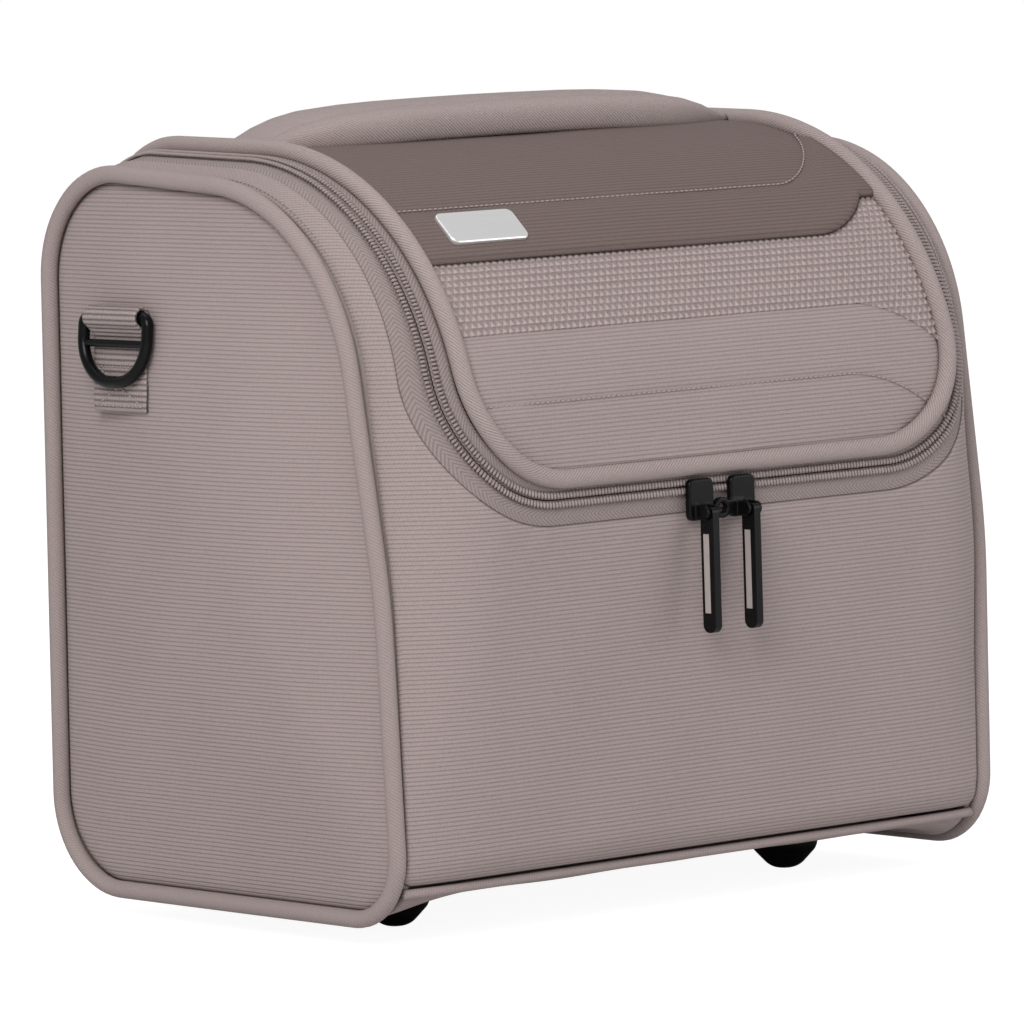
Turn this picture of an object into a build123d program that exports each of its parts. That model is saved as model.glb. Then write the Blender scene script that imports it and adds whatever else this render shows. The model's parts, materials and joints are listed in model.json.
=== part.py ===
"""Soft cosmetic case with a zip lid that opens upward, padded handle and four feet.

Frame in mm: X across the width, Y towards the back, Z up, floor at Z = 0.
The walls are layers between one crowned master form and insets of itself.
"""
import math
import os

from build123d import *

os.makedirs("parts", exist_ok=True)

# Master form: corners (y, z) of the section at a side seam and in the middle
SIDE_CORNERS = [(-93.0, 9.0), (-91.5, 125.0), (-72.0, 266.0), (88.0, 276.0), (101.0, 9.0)]
MID_CORNERS = [(-96.0, 17.0), (-110.0, 150.0), (-110.0, 277.5), (90.0, 281.0), (101.0, 17.0)]
SIDE_RADII = [26.0, 260.0, 78.0, 42.0, 34.0]
MID_RADII = [18.0, 200.0, 112.0, 42.0, 34.0]
SEAM_X = 142.8
CROWN_START_X = 103.0
FLARE_DEG = 1.3
CROWN_STEPS = [0.0, 0.32, 0.58, 0.8, 0.92]

# Wall layers, counted as insets from the outer skin
EASE = 0.05
SKIN = 1.5
BOARD = 3.0
LINING = 0.8
LID_FOAM = 5.0
BOARD_IN = SKIN + EASE
LINING_IN = BOARD_IN + BOARD + EASE
LID_LINING_IN = BOARD_IN + LID_FOAM + EASE

# Side walls
PIPING_R = 3.5
PIPING_INSET = 1.5
END_X = SEAM_X - PIPING_R - EASE
BOARD_X = END_X - BOARD - EASE
PAD_INSET = PIPING_INSET + PIPING_R + EASE
PAD_CROWN = 12.0
PAD_SHARES = [1.0, 0.92, 0.78, 0.58, 0.32]

# Zip run, as outlines in the front view: half width, bottom height, corner radius
ZIP = (127.5, 155.5, 47.0)
ZIP_SPLIT = 0.5
COIL_W = 2.4
COIL_PROUD = 0.9
COIL_SUNK = 1.2
TAPE_W = 8.5
TAPE_IN = 0.5
ZIP_CLEAR = 1.2
LID_PIPING = (118.0, 162.2, 42.0)
LID_PIPING_R = 3.0
LID_PIPING_LIFT, LID_PIPING_BULGE, LID_PIPING_PLAY = 1.3, 0.2, 0.4
LID_PIPING_BEND = 9.0
LID_PIPING_FROM = (-10.0, 180.0)
LID_PIPING_SIDE_DEG = [49, 60, 92, 106, 120, 134, 148, 160]
LID_PIPING_CORNER_DEG = [15, 30, 45, 60, 75, 90]

# Lines where the outer panels meet, in the side view
HINGE_Y, HINGE_Z = 78.2, 270.6
HINGE_IN = (49.0, 238.0)
HINGE_R = 1.2
HINGE_GAP = 1.7
BACK_FOOT_IN = (60.0, 50.0)
BOTTOM_SEAM_Z = 20.5
BOTTOM_PIPING_BEND_X, BOTTOM_PIPING_ROUND, BOTTOM_PIPING_LIFT = 120.0, 10.0, 0.2
FOLD_Z = 239.5
LIP_TOP_Z = 262.0
LIP_PROUD = 1.5
RELIEF_LOW_Z = 215.0
SEAM_R = 1.6

# Boards
BOARD_EDGE = 26.0
BOARD_TOP_Z = 146.0
BACK_BOARD_TOP_Z = 226.0
BASE_BOARD_Y, BACK_BOARD_Y = 76.0, 60.0
BOARD_GAP = 1.0

# Feet and their screws
FOOT_X, FOOT_FRONT_Y, FOOT_BACK_Y = 96.0, -33.0, 62.0
FOOT_R, FOOT_FLANGE_R, FOOT_FLANGE_H, FOOT_FLAT_R = 12.5, 13.6, 2.2, 5.0
FOOT_ROUNDS = [8.0, 6.0, 0.8, 0.2, 0.2]
FOOT_SEAT, FOOT_HOLE, FOOT_EDGE_H = 0.5, 7.0, 8.0
BASE_Z = 17.0
SCREW_R, SCREW_HEAD_R, SCREW_HEAD_H, SCREW_LEN = 1.5, 3.0, 1.2, 10.0
HEAD_POCKET, DRILL_LEN = 1.0, 24.0

# Handle: x, width, thickness, height of the middle of the section
HANDLE_Y = 18.0
HANDLE_STATIONS = [(0.0, 45.0, 8.6, 289.1), (45.0, 45.0, 8.6, 288.7), (78.0, 42.0, 8.0, 287.2),
                   (98.0, 34.0, 6.0, 284.1), (112.5, 26.0, 3.0, 281.2)]
HANDLE_STRIP_Y, HANDLE_STRIP_W, HANDLE_STRIP_T = 27.0, 24.0, 1.6
HANDLE_STRIP_X, HANDLE_STRIP_LOW_Z = 96.0, 282.0
HANDLE_ROUNDS = [0.2, 0.2, 0.4, 0.6, 0.6, 0.4]

# Badge plate on the folded lip of the top panel
BADGE_X, BADGE_Y, BADGE_Z, BADGE_STAND = -82.0, -74.0, 249.3, 0.45
BADGE_W, BADGE_H, BADGE_T = 36.0, 15.0, 1.6
BADGE_TILT, BADGE_ROUND, BADGE_CHAMFER = 42.0, 3.0, 0.4

# Sliders and pullers
SLIDER_X = (-15.0, 5.2)
SLIDER_W, SLIDER_H, SLIDER_T = 12.0, 15.0, 2.6
SLIDER_ROUND, SLIDER_CHAMFER, SLIDER_TOP_IN = 2.4, 0.5, 0.2
SLIDER_GAP, SLIDER_WEB, BLADE_T = 0.4, 0.4, 1.2
WEB_HALF, BLADE_HALF, WEB_ROOT, ARM_ROOT = 3.0, 4.5, 0.5, 1.0
EYE_X, EYE_Z, EYE_R, EYE_HOLE_R, EYE_T = -4.9, 147.0, 3.8, 1.9, 1.2
EYE_GAP, EYE_ARM = 0.2, 0.7
PIN_R, PIN_Z, PIN_OUT, PIN_PLAY = 1.0, 146.2, 3.7, 0.08
CHEEK_T, CHEEK_GAP, CHEEK_R = 1.4, 0.3, 2.6
PULL_T, PULL_D, PULL_LEN, PULL_R = 3.0, 6.6, 45.0, 3.0
PULL_TOP, INLAY_TOP, INLAY_LOW = 1.9, 9.5, 7.0
INLAY_BACK, INLAY_FRONT, INLAY_T, INLAY_ROUND = 0.7, 2.4, 2.6, 0.4

# Strap rings on the sides
TAB_Y, TAB_W, TAB_LOW_Z, RING_Z = 40.0, 30.0, 187.0, 221.0
WEB = 1.6
RING_R, RING_BAR_R, RING_CLEAR = 2.2, 1.4, 0.3
RING_HALF_W, RING_DROP, RING_CROSS = 18.2, 23.3, 9.5
RING_TOP_BEND, RING_LOW_BEND = 3.0, 16.0
SLICE_HALF = 0.2

FAR = 420.0
FLARE = math.radians(FLARE_DEG)


def blend(a, b, share):
    """Value between a and b."""
    return a * (1.0 - share) + b * share


def section_corners(share):
    """Corners and radii of the section with this share of the middle form."""
    corners = []
    for side, mid in zip(SIDE_CORNERS, MID_CORNERS):
        corners.append((blend(side[0], mid[0], share), blend(side[1], mid[1], share)))
    radii = [blend(s, m, share) for s, m in zip(SIDE_RADII, MID_RADII)]
    return corners, radii


def inset_corners(corners, inset):
    """Corners of the polygon whose lines lie further in by the inset."""
    count = len(corners)
    lines = []
    for i in range(count):
        (y0, z0), (y1, z1) = corners[i], corners[(i + 1) % count]
        length = math.hypot(y1 - y0, z1 - z0)
        ny, nz = (z1 - z0) / length, -(y1 - y0) / length
        lines.append((ny, nz, ny * y0 + nz * z0 + inset))
    moved = []
    for i in range(count):
        (a, b, c), (d, e, f) = lines[i - 1], lines[i]
        det = a * e - b * d
        moved.append(((c * e - b * f) / det, (a * f - c * d) / det))
    return moved


def crown_share(x):
    """Share of the middle form at this distance from the middle."""
    run = max(0.0, abs(x) - CROWN_START_X) / (END_X - CROWN_START_X)
    return 1.0 - min(1.0, run) ** 2


def station_plane(x):
    """Plane of a section, leaning out with the flare of the sides."""
    lean = FLARE * x / SEAM_X
    return Plane(origin=(x, 0, 0), x_dir=(0, 1, 0), z_dir=(math.cos(lean), 0, -math.sin(lean)))


def section_outline(share, inset, scale=1.0):
    """Closed outline of a section in its own plane, drawn in about its middle when scaled."""
    corners, radii = section_corners(share)
    corners = inset_corners(corners, inset)
    mid_y = sum(c[0] for c in corners) / len(corners)
    mid_z = sum(c[1] for c in corners) / len(corners)
    points = [(blend(mid_y, c[0], scale), blend(mid_z, c[1], scale)) for c in corners]
    rounds = [max(1.0, (r - inset) * scale) for r in radii]
    return Wire(FilletPolyline(*points, radius=rounds, close=True).edges())


def section_wire(x, inset):
    """Outline of the form at a station."""
    return station_plane(x).from_local_coords(section_outline(crown_share(x), inset))


def side_wire(x, inset, scale=1.0, lift=0.0):
    """Outline of the side section at a station, moved outward by the lift."""
    plane = station_plane(x)
    plane.origin = plane.origin + plane.z_dir * math.copysign(lift, x)
    return plane.from_local_coords(section_outline(0.0, inset, scale))


def form(inset, reach):
    """Solid of the master form drawn in by the inset, ending at stations -reach and reach."""
    steps = [CROWN_START_X + s * (BOARD_X - CROWN_START_X) for s in CROWN_STEPS] + [BOARD_X, END_X]
    xs = [x for x in steps if x < reach - 0.5] + [reach]
    stations = [-x for x in reversed(xs)] + xs
    return Solid.make_loft([section_wire(x, inset) for x in stations], ruled=True)


def layer(outer, inner, reach=END_X):
    """Open ended wall between two insets of the form."""
    return form(outer, reach) - form(inner, reach + 2.0)


def side_crown(inset, height, side):
    """Cushion shaped solid on a side wall."""
    wires = []
    for share in PAD_SHARES:
        wires.append(side_wire(side * END_X, inset, share, height * (1.0 - share ** 2)))
    return Solid.make_loft(wires)


def outline_prism(outline, grow=0.0):
    """Prism along Y of a U outline in the front view, made wider by grow."""
    half, low, radius = outline
    half, low, radius = half + grow, low - grow, radius + grow
    shape = FilletPolyline((-half, FAR), (-half, low), (half, low), (half, FAR), radius=radius)
    wire = Wire(shape.edges() + [Edge.make_line((half, FAR), (-half, FAR))])
    face = Face(Plane.XZ.from_local_coords(wire))
    return Solid.extrude(face, Vector(0, 2 * FAR, 0)).translate((0, -FAR, 0))


def side_prism(points):
    """Prism along X of a polygon in the side view."""
    face = Face(Plane.YZ.from_local_coords(Wire.make_polygon([Vector(*p) for p in points])))
    return Solid.extrude(face, Vector(2 * FAR, 0, 0)).translate((-FAR, 0, 0))


def block(low, high):
    """Box between two corners."""
    size = [h - l for l, h in zip(low, high)]
    centre = [(h + l) / 2 for l, h in zip(low, high)]
    return Pos(*centre) * Box(*size)


def beyond(inner, through):
    """Far point on the line from an inner point through another."""
    dy, dz = through[0] - inner[0], through[1] - inner[1]
    reach = FAR / math.hypot(dy, dz)
    return (inner[0] + dy * reach, inner[1] + dz * reach)


HINGE_FAR = beyond(HINGE_IN, (HINGE_Y, HINGE_Z))
BACK_FAR = (BACK_FOOT_IN[0] + FAR, BACK_FOOT_IN[1] - FAR)


def front_region():
    """Everything in front of the hinge line and above the front bottom seam."""
    low = BOTTOM_SEAM_Z + SEAM_R + EASE
    return side_prism([HINGE_IN, HINGE_FAR, (-FAR, HINGE_FAR[1]), (-FAR, low), (0.0, low)])


def back_region():
    """Everything behind the hinge line and above the back bottom edge."""
    return side_prism([HINGE_IN, BACK_FOOT_IN, BACK_FAR, (BACK_FAR[0], HINGE_FAR[1]), HINGE_FAR])


def bottom_region():
    """Everything between the front bottom seam and the back bottom edge."""
    high = BOTTOM_SEAM_Z - SEAM_R - EASE
    inner = BACK_FOOT_IN[1]
    return side_prism([(-FAR, high), (-FAR, -FAR), (BACK_FAR[0], -FAR), BACK_FAR, BACK_FOOT_IN,
                       (-BACK_FOOT_IN[0], inner), (-BACK_FOOT_IN[0] - high, high)])


def lid_region(grow):
    """Space of the lid inside a grown zip outline, clear of the hinge binding."""
    dy, dz = HINGE_FAR[0] - HINGE_IN[0], HINGE_FAR[1] - HINGE_IN[1]
    length = math.hypot(dy, dz)
    off_y, off_z = -dz / length * HINGE_GAP, dy / length * HINGE_GAP
    points = [(HINGE_IN[0] + off_y, HINGE_IN[1] + off_z), (HINGE_FAR[0] + off_y, HINGE_FAR[1] + off_z),
              (-FAR, HINGE_FAR[1] + off_z), (-FAR, -FAR), (HINGE_IN[0] + off_y, -FAR)]
    return outline_prism(ZIP, grow) & side_prism(points)


def skin_hit(x, inner, outer, lift):
    """Point where the line between two places (y, z) leaves the form lifted off its skin."""
    station = x / (1.0 + outer[1] * FLARE / SEAM_X)
    face = Face(section_outline(crown_share(station), -lift))
    cut = face & Edge.make_line((inner[0], inner[1], 0), (outer[0], outer[1], 0))
    far = max(cut.vertices(), key=lambda v: math.hypot(v.X - inner[0], v.Y - inner[1]))
    return Vector(x, far.X, far.Y)


def tube(line, radius):
    """Round piping along a line."""
    start = Plane(origin=line @ 0, z_dir=line % 0)
    return Solid.sweep(Face(Wire.make_circle(radius, start)), Wire(line.edges()))


def one(shape):
    """The largest solid of a result."""
    return max(shape.solids(), key=lambda s: s.volume)


PARTS = {}


def keep(name, shape):
    """Store a finished node."""
    solids = [s for s in shape.solids() if s.volume > 1.0]
    PARTS[name] = solids[0] if len(solids) == 1 else Compound(children=solids)
    print(name, len(solids), round(sum(s.volume for s in solids)))


def screw_places():
    """Middles of the four feet."""
    return [(x, y) for y in (FOOT_FRONT_Y, FOOT_BACK_Y) for x in (-FOOT_X, FOOT_X)]


def drilled(shape, radius):
    """Shape with the four screw holes through it."""
    for x, y in screw_places():
        shape = shape - Pos(x, y, BASE_Z) * Cylinder(radius, DRILL_LEN)
    return shape


def hinge_rod(radius):
    """Round bar along the hinge line."""
    return Pos(0, HINGE_Y, HINGE_Z) * Rot(0, 90, 0) * Cylinder(radius, 2 * (ZIP[0] - ZIP_SPLIT))


def make_body():
    """Outer panels, boards and lining of the body."""
    skin = layer(0.0, SKIN)
    tape_edge = ZIP_SPLIT + TAPE_W
    front = skin & front_region()
    keep("front_panel", one(front - outline_prism(ZIP, tape_edge)))
    keep("back_panel", one((skin & back_region()) - hinge_rod(HINGE_R + EASE)))
    keep("bottom_panel", one(drilled(skin & bottom_region(), SCREW_R + EASE)))
    reach = BOARD_X - EASE
    board = layer(BOARD_IN, BOARD_IN + BOARD, reach)
    board_low = BASE_Z + BOARD_EDGE
    keep("front_board", one(board & block((-FAR, -FAR, board_low), (FAR, 0, BOARD_TOP_Z))))
    keep("back_board", one(board & block((-FAR, BACK_BOARD_Y, board_low), (FAR, FAR, BACK_BOARD_TOP_Z))))
    base = one(board & block((-FAR, -BASE_BOARD_Y, -FAR), (FAR, BASE_BOARD_Y, BOARD_EDGE)))
    base = drilled(base, SCREW_R + EASE)
    for x, y in screw_places():
        head = BASE_Z + BOARD_IN + BOARD - SCREW_HEAD_H / 2
        base = base - Pos(x, y, head) * Cylinder(SCREW_HEAD_R + EASE, SCREW_HEAD_H + HEAD_POCKET)
    keep("base_board", base)
    shoulders = board & front_region() & block((-FAR, -FAR, BOARD_TOP_Z + BOARD_GAP), (FAR, FAR, FAR))
    shoulders = shoulders - outline_prism(ZIP, COIL_W + ZIP_CLEAR)
    for name, side in (("left", -1), ("right", 1)):
        half = block((min(0, side * FAR), -FAR, 0), (max(0, side * FAR), FAR, FAR))
        keep("shoulder_foam_" + name, one(shoulders & half))
    lining = form(LINING_IN, reach) - form(LINING_IN + LINING, reach - LINING)
    keep("body_lining", one(lining - lid_region(COIL_W + ZIP_CLEAR)))


def make_sides():
    """Boards, cushions, panels and piping of the two side walls."""
    for name, side in (("left", -1), ("right", 1)):
        ends = [section_wire(side * x, BOARD_IN) for x in (BOARD_X, END_X)]
        keep("side_board_" + name, Solid.make_loft(ends))
        pad = side_crown(PAD_INSET + SKIN, PAD_CROWN, side)
        keep("side_pad_" + name, pad)
        cover = side_crown(PAD_INSET, PAD_CROWN + SKIN, side)
        keep("side_panel_" + name, one(cover - pad))
        keep("side_piping_" + name, tube(side_wire(side * SEAM_X, PIPING_INSET), PIPING_R))
    path = []
    bends = [CROWN_START_X, BOTTOM_PIPING_BEND_X, END_X]
    for x in [-b for b in reversed(bends)] + bends:
        path.append(skin_hit(x, (0.0, BOTTOM_SEAM_Z), (-FAR, BOTTOM_SEAM_Z), BOTTOM_PIPING_LIFT))
    keep("bottom_piping", tube(FilletPolyline(*path, radius=BOTTOM_PIPING_ROUND), SEAM_R))


def zip_ring(grow_in, grow_out, wall):
    """Part of a wall between two grown zip outlines."""
    return (wall & outline_prism(ZIP, grow_out)) - outline_prism(ZIP, grow_in)


def make_zip():
    """Coils and tapes on both sides of the zip line."""
    hinge = front_region()
    coil_wall = layer(-COIL_PROUD, COIL_SUNK) & hinge
    tape_wall = layer(TAPE_IN, SKIN) & hinge
    split = ZIP_SPLIT
    keep("body_zip_coil", one(zip_ring(split, split + COIL_W, coil_wall)))
    keep("body_zip_tape", one(zip_ring(split + COIL_W + EASE, split + TAPE_W - EASE, tape_wall)))
    lid_wall = coil_wall & lid_region(0.0)
    keep("lid_zip_coil", one(zip_ring(-split - COIL_W, -split, lid_wall)))
    tape_lid = tape_wall & lid_region(-split - COIL_W - EASE)
    keep("lid_zip_tape", one(tape_lid - outline_prism(LID_PIPING, LID_PIPING_R + LID_PIPING_PLAY)))


def lid_piping_line():
    """Middle line of the lid piping, over the top and round the front corners."""
    half, low, radius = LID_PIPING
    base_y, base_z = LID_PIPING_FROM
    right = []
    for angle in LID_PIPING_SIDE_DEG:
        turn = math.radians(angle)
        target = (base_y + FAR * math.cos(turn), base_z + FAR * math.sin(turn))
        right.append(skin_hit(half, LID_PIPING_FROM, target, LID_PIPING_LIFT))
    for angle in LID_PIPING_CORNER_DEG:
        turn = math.radians(angle)
        x = half - radius + (radius + LID_PIPING_BULGE) * math.cos(turn)
        z = low + radius - (radius + LID_PIPING_BULGE) * math.sin(turn)
        right.append(skin_hit(x, (0.0, z), (-FAR, z), LID_PIPING_LIFT))
    left = [Vector(-p.X, p.Y, p.Z) for p in reversed(right)]
    return FilletPolyline(*(right + left), radius=LID_PIPING_BEND)


def make_lid():
    """Panels, foam, lining and piping of the lid."""
    keep("lid_piping", tube(lid_piping_line(), LID_PIPING_R))
    channel = LID_PIPING_R + LID_PIPING_PLAY
    inside = outline_prism(LID_PIPING, -channel)
    space = lid_region(0.0)
    skin = layer(0.0, SKIN) & space & inside
    top = skin & block((-FAR, -FAR, FOLD_Z), (FAR, FAR, FAR))
    lip = layer(-LIP_PROUD, SKIN) & space & inside
    lip = lip & block((-FAR, -FAR, FOLD_Z), (FAR, 0, LIP_TOP_Z))
    keep("lid_top_panel", one(top + lip))
    keep("lid_relief_band", one(skin & block((-FAR, -FAR, RELIEF_LOW_Z), (FAR, 0, FOLD_Z - EASE))))
    keep("lid_front_panel", one(skin & block((-FAR, -FAR, 0), (FAR, 0, RELIEF_LOW_Z - EASE))))
    deep = LID_PIPING_R + 2 * LID_PIPING_PLAY
    core = lid_region(-ZIP_SPLIT - COIL_W - EASE)
    foam = layer(BOARD_IN, BOARD_IN + LID_FOAM) & core
    groove = (outline_prism(LID_PIPING, channel) - outline_prism(LID_PIPING, -channel)) - form(deep, FAR / 2)
    keep("lid_foam", one(foam - groove))
    keep("lid_lining", one(layer(LID_LINING_IN, LID_LINING_IN + LINING) & core))


def make_feet():
    """Domed feet and the screws that hold them."""
    names = ["front_left", "front_right", "back_left", "back_right"]
    height = BASE_Z - FOOT_SEAT
    flange = height - FOOT_FLANGE_H
    for name, (x, y) in zip(names, screw_places()):
        rim = [(0, 0), (FOOT_FLAT_R, 0), (FOOT_R, FOOT_EDGE_H), (FOOT_R, flange), (FOOT_FLANGE_R, flange),
               (FOOT_FLANGE_R, height), (0, height)]
        outline = FilletPolyline(*rim, radius=FOOT_ROUNDS) + Line((0, height), (0, 0))
        foot = revolve(Plane.XZ * make_face(outline), Axis.Z)
        hole = Pos(0, 0, height) * Cylinder(SCREW_R + EASE, 2 * FOOT_HOLE)
        keep("foot_" + name, Pos(x, y, 0) * (foot - hole))
    head = BASE_Z + BOARD_IN + BOARD - SCREW_HEAD_H
    screws = []
    for x, y in screw_places():
        shank = Pos(x, y, head - SCREW_LEN / 2) * Cylinder(SCREW_R, SCREW_LEN)
        cap = Pos(x, y, head + SCREW_HEAD_H / 2 - EASE) * Cylinder(SCREW_HEAD_R, SCREW_HEAD_H - EASE)
        screws.append(shank + cap)
    keep("foot_screws", Compound(children=[s.solid() for s in screws]))


def handle_section(x, width, thick, height, shift=0.0):
    """Rounded section of the handle at a station."""
    plane = Plane(origin=(x, HANDLE_Y + shift, height), x_dir=(0, 1, 0), z_dir=(1, 0, 0))
    top, low = thick / 2, -thick / 2
    half, quarter = width / 2, width / 4
    points = [(-half, low), (half, low), (half, 0), (quarter, top), (-quarter, top), (-half, 0)]
    outline = FilletPolyline(*points, radius=[thick * r for r in HANDLE_ROUNDS], close=True)
    return plane.from_local_coords(Wire(outline.edges()))


def make_handle():
    """Padded grip sewn down at both ends, and the smooth strip along its top."""
    stations = [(-x, w, t, h) for x, w, t, h in reversed(HANDLE_STATIONS[1:])] + HANDLE_STATIONS
    grip = Solid.make_loft([handle_section(*s) for s in stations])
    keep("handle_grip", grip)
    lifted = Solid.make_loft([handle_section(x, w, t, h + HANDLE_STRIP_T) for x, w, t, h in stations])
    half = HANDLE_STRIP_W / 2
    window = block((-HANDLE_STRIP_X, HANDLE_STRIP_Y - half, HANDLE_STRIP_LOW_Z),
                   (HANDLE_STRIP_X, HANDLE_STRIP_Y + half, FAR))
    keep("handle_top_strip", one((lifted - grip.translate((0, 0, EASE))) & window))


def make_badge():
    """Plain badge plate on the folded lip."""
    plate = extrude(RectangleRounded(BADGE_W, BADGE_H, BADGE_ROUND), BADGE_T)
    plate = chamfer(plate.faces().sort_by(Axis.Z)[-1].edges(), BADGE_CHAMFER)
    seat = Pos(BADGE_X, BADGE_Y, BADGE_Z) * Rot(BADGE_TILT, 0, 0) * Pos(0, 0, LIP_PROUD + BADGE_STAND)
    keep("badge_plate", seat * plate)


def make_sliders():
    """Zip sliders with cheeks, pins and lock eyes; each wraps the lid half of the zip."""
    front_y = MID_CORNERS[1][0]
    face = front_y - COIL_PROUD - SLIDER_GAP
    top = ZIP[1] + ZIP_SPLIT + COIL_W - SLIDER_TOP_IN
    blade_y = front_y + COIL_SUNK + SLIDER_GAP
    pin_y = face - SLIDER_T - PIN_OUT
    for name, x, side in (("left", SLIDER_X[0], 1), ("right", SLIDER_X[1], -1)):
        low_x, high_x = x - SLIDER_W / 2, x + SLIDER_W / 2
        plate = block((low_x, face - SLIDER_T, top - SLIDER_H), (high_x, face, top))
        body = fillet(plate.edges().filter_by(Axis.Y), SLIDER_ROUND)
        body = chamfer(body.faces().sort_by(Axis.Y)[0].edges(), SLIDER_CHAMFER)
        web_z = ZIP[1] - SLIDER_WEB / 2
        back_y = blade_y + BLADE_T
        web = block((x - WEB_HALF, face - WEB_ROOT, web_z), (x + WEB_HALF, back_y, web_z + SLIDER_WEB))
        body = body + web
        body = body + block((x - BLADE_HALF, blade_y, web_z), (x + BLADE_HALF, back_y, top))
        for cheek in (-1, 1):
            inner = x + cheek * (PULL_T / 2 + CHEEK_GAP)
            outer = inner + cheek * CHEEK_T
            arm = block((min(inner, outer), pin_y, PIN_Z - CHEEK_R),
                        (max(inner, outer), face - ARM_ROOT, PIN_Z + CHEEK_R))
            tip = Pos((inner + outer) / 2, pin_y, PIN_Z) * Rot(0, 90, 0) * Cylinder(CHEEK_R, CHEEK_T)
            body = body + arm + tip
        span = PULL_T + 2 * CHEEK_GAP + CHEEK_T
        body = body + Pos(x, pin_y, PIN_Z) * Rot(0, 90, 0) * Cylinder(PIN_R, span)
        eye_y = face - EYE_GAP - (0.0 if side > 0 else EYE_T + EYE_GAP)
        reach = EYE_R * EYE_ARM
        arm = block((min(x, EYE_X), eye_y - EYE_T, EYE_Z - reach), (max(x, EYE_X), eye_y, EYE_Z + reach))
        disc = Pos(EYE_X, eye_y - EYE_T / 2, EYE_Z) * Rot(90, 0, 0) * Cylinder(EYE_R, EYE_T)
        hole = Pos(EYE_X, eye_y, EYE_Z) * Rot(90, 0, 0) * Cylinder(EYE_HOLE_R, 3 * EYE_T)
        keep("zip_slider_" + name, body + (arm + disc - hole))
        make_puller(name, x, pin_y)


def make_puller(name, x, pin_y):
    """Puller bar hanging on its pin, and the inlay in its window."""
    top, low = PIN_Z + PULL_TOP, PIN_Z + PULL_TOP - PULL_LEN
    bar = block((x - PULL_T / 2, pin_y - PULL_D / 2, low), (x + PULL_T / 2, pin_y + PULL_D / 2, top))
    bar = fillet(bar.edges().filter_by(Axis.X).group_by(Axis.Z)[0], PULL_R)
    bar = fillet(bar.edges().filter_by(Axis.X).group_by(Axis.Z)[-1], PULL_TOP - 2 * EASE)
    bar = bar - Pos(x, pin_y, PIN_Z) * Rot(0, 90, 0) * Cylinder(PIN_R + PIN_PLAY, 2 * PULL_T)
    back, front = pin_y + PULL_D / 2 - INLAY_BACK, pin_y - PULL_D / 2 + INLAY_FRONT
    window = block((x - PULL_T, front, low + INLAY_LOW), (x + PULL_T, back, top - INLAY_TOP))
    keep("puller_" + name, bar - window)
    inlay = block((x - INLAY_T / 2, front + EASE, low + INLAY_LOW + EASE),
                  (x + INLAY_T / 2, back - EASE, top - INLAY_TOP - EASE))
    keep("puller_inlay_" + name, fillet(inlay.edges().filter_by(Axis.Z), INLAY_ROUND))


def skin_reach(cover, z, half):
    """How far out a side panel reaches at this height across the tab."""
    slice_box = cover & block((-FAR, TAB_Y - half, z - SLICE_HALF), (FAR, TAB_Y + half, z + SLICE_HALF))
    box = slice_box.bounding_box()
    return max(abs(box.min.X), abs(box.max.X))


def make_rings():
    """Webbing tabs and the strap rings that hang in them, leaning on the side panels."""
    for name, side in (("left", -1), ("right", 1)):
        cover = side_crown(PAD_INSET, PAD_CROWN + SKIN, side)
        bar_x = skin_reach(cover, RING_Z, TAB_W / 2) + EASE + RING_R + RING_CLEAR + WEB
        low_x = skin_reach(cover, RING_Z - RING_DROP, RING_HALF_W) + WEB + RING_R + 2 * RING_CLEAR
        lean = math.asin(max(0.0, low_x - bar_x) / RING_DROP)
        print(name, "ring axis x", round(side * bar_x, 2), "lean", round(math.degrees(lean), 2))
        strip = cover.translate((side * (WEB + EASE), 0, 0)) - cover.translate((side * EASE, 0, 0))
        half = TAB_W / 2
        strip = one(strip & block((-FAR, TAB_Y - half, TAB_LOW_Z), (FAR, TAB_Y + half, RING_Z)))
        roll = Cylinder(RING_R + RING_CLEAR + WEB, TAB_W) - Cylinder(RING_R + RING_CLEAR, TAB_W)
        roll = Pos(side * bar_x, TAB_Y, RING_Z) * Rot(90, 0, 0) * roll
        keep("strap_tab_" + name, strip + roll)
        loop = FilletPolyline((-RING_HALF_W, 0), (RING_HALF_W, 0), (RING_HALF_W, -RING_DROP),
                              (-RING_HALF_W, -RING_DROP),
                              radius=[RING_TOP_BEND, RING_TOP_BEND, RING_LOW_BEND, RING_LOW_BEND], close=True)
        ring = tube(Plane.YZ.from_local_coords(Wire(loop.edges())), RING_R)
        bar = Pos(0, 0, -RING_CROSS) * Rot(90, 0, 0) * Cylinder(RING_BAR_R, 2 * RING_HALF_W)
        turn = Rot(0, -side * math.degrees(lean), 0)
        keep("strap_ring_" + name, Pos(side * bar_x, TAB_Y, RING_Z) * turn * (ring + bar))


def make_hinge():
    """Binding along the fold that joins the lid to the back."""
    keep("hinge_binding", hinge_rod(HINGE_R))


def main():
    """Build every node and write it out."""
    make_body()
    make_sides()
    make_zip()
    make_lid()
    make_feet()
    make_handle()
    make_badge()
    make_sliders()
    make_rings()
    make_hinge()
    for name, shape in PARTS.items():
        export_step(shape, "parts/" + name + ".step")


main()
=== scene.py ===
"""Looks of a soft cosmetic case: sewn panels, piping, zip, padded handle and metal fittings.

Every soft piece is built on one crowned form, in the row frame, in metres. X runs across
the width, Y to the back and Z up. Lengths in the tables are in millimetres.
"""

from __future__ import annotations

import json
import logging
import math
from dataclasses import dataclass
from enum import Enum
from typing import Callable, Sequence

import bmesh
import bpy
import numpy as np
from mathutils import Matrix, Vector
from mathutils.bvhtree import BVHTree

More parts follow.
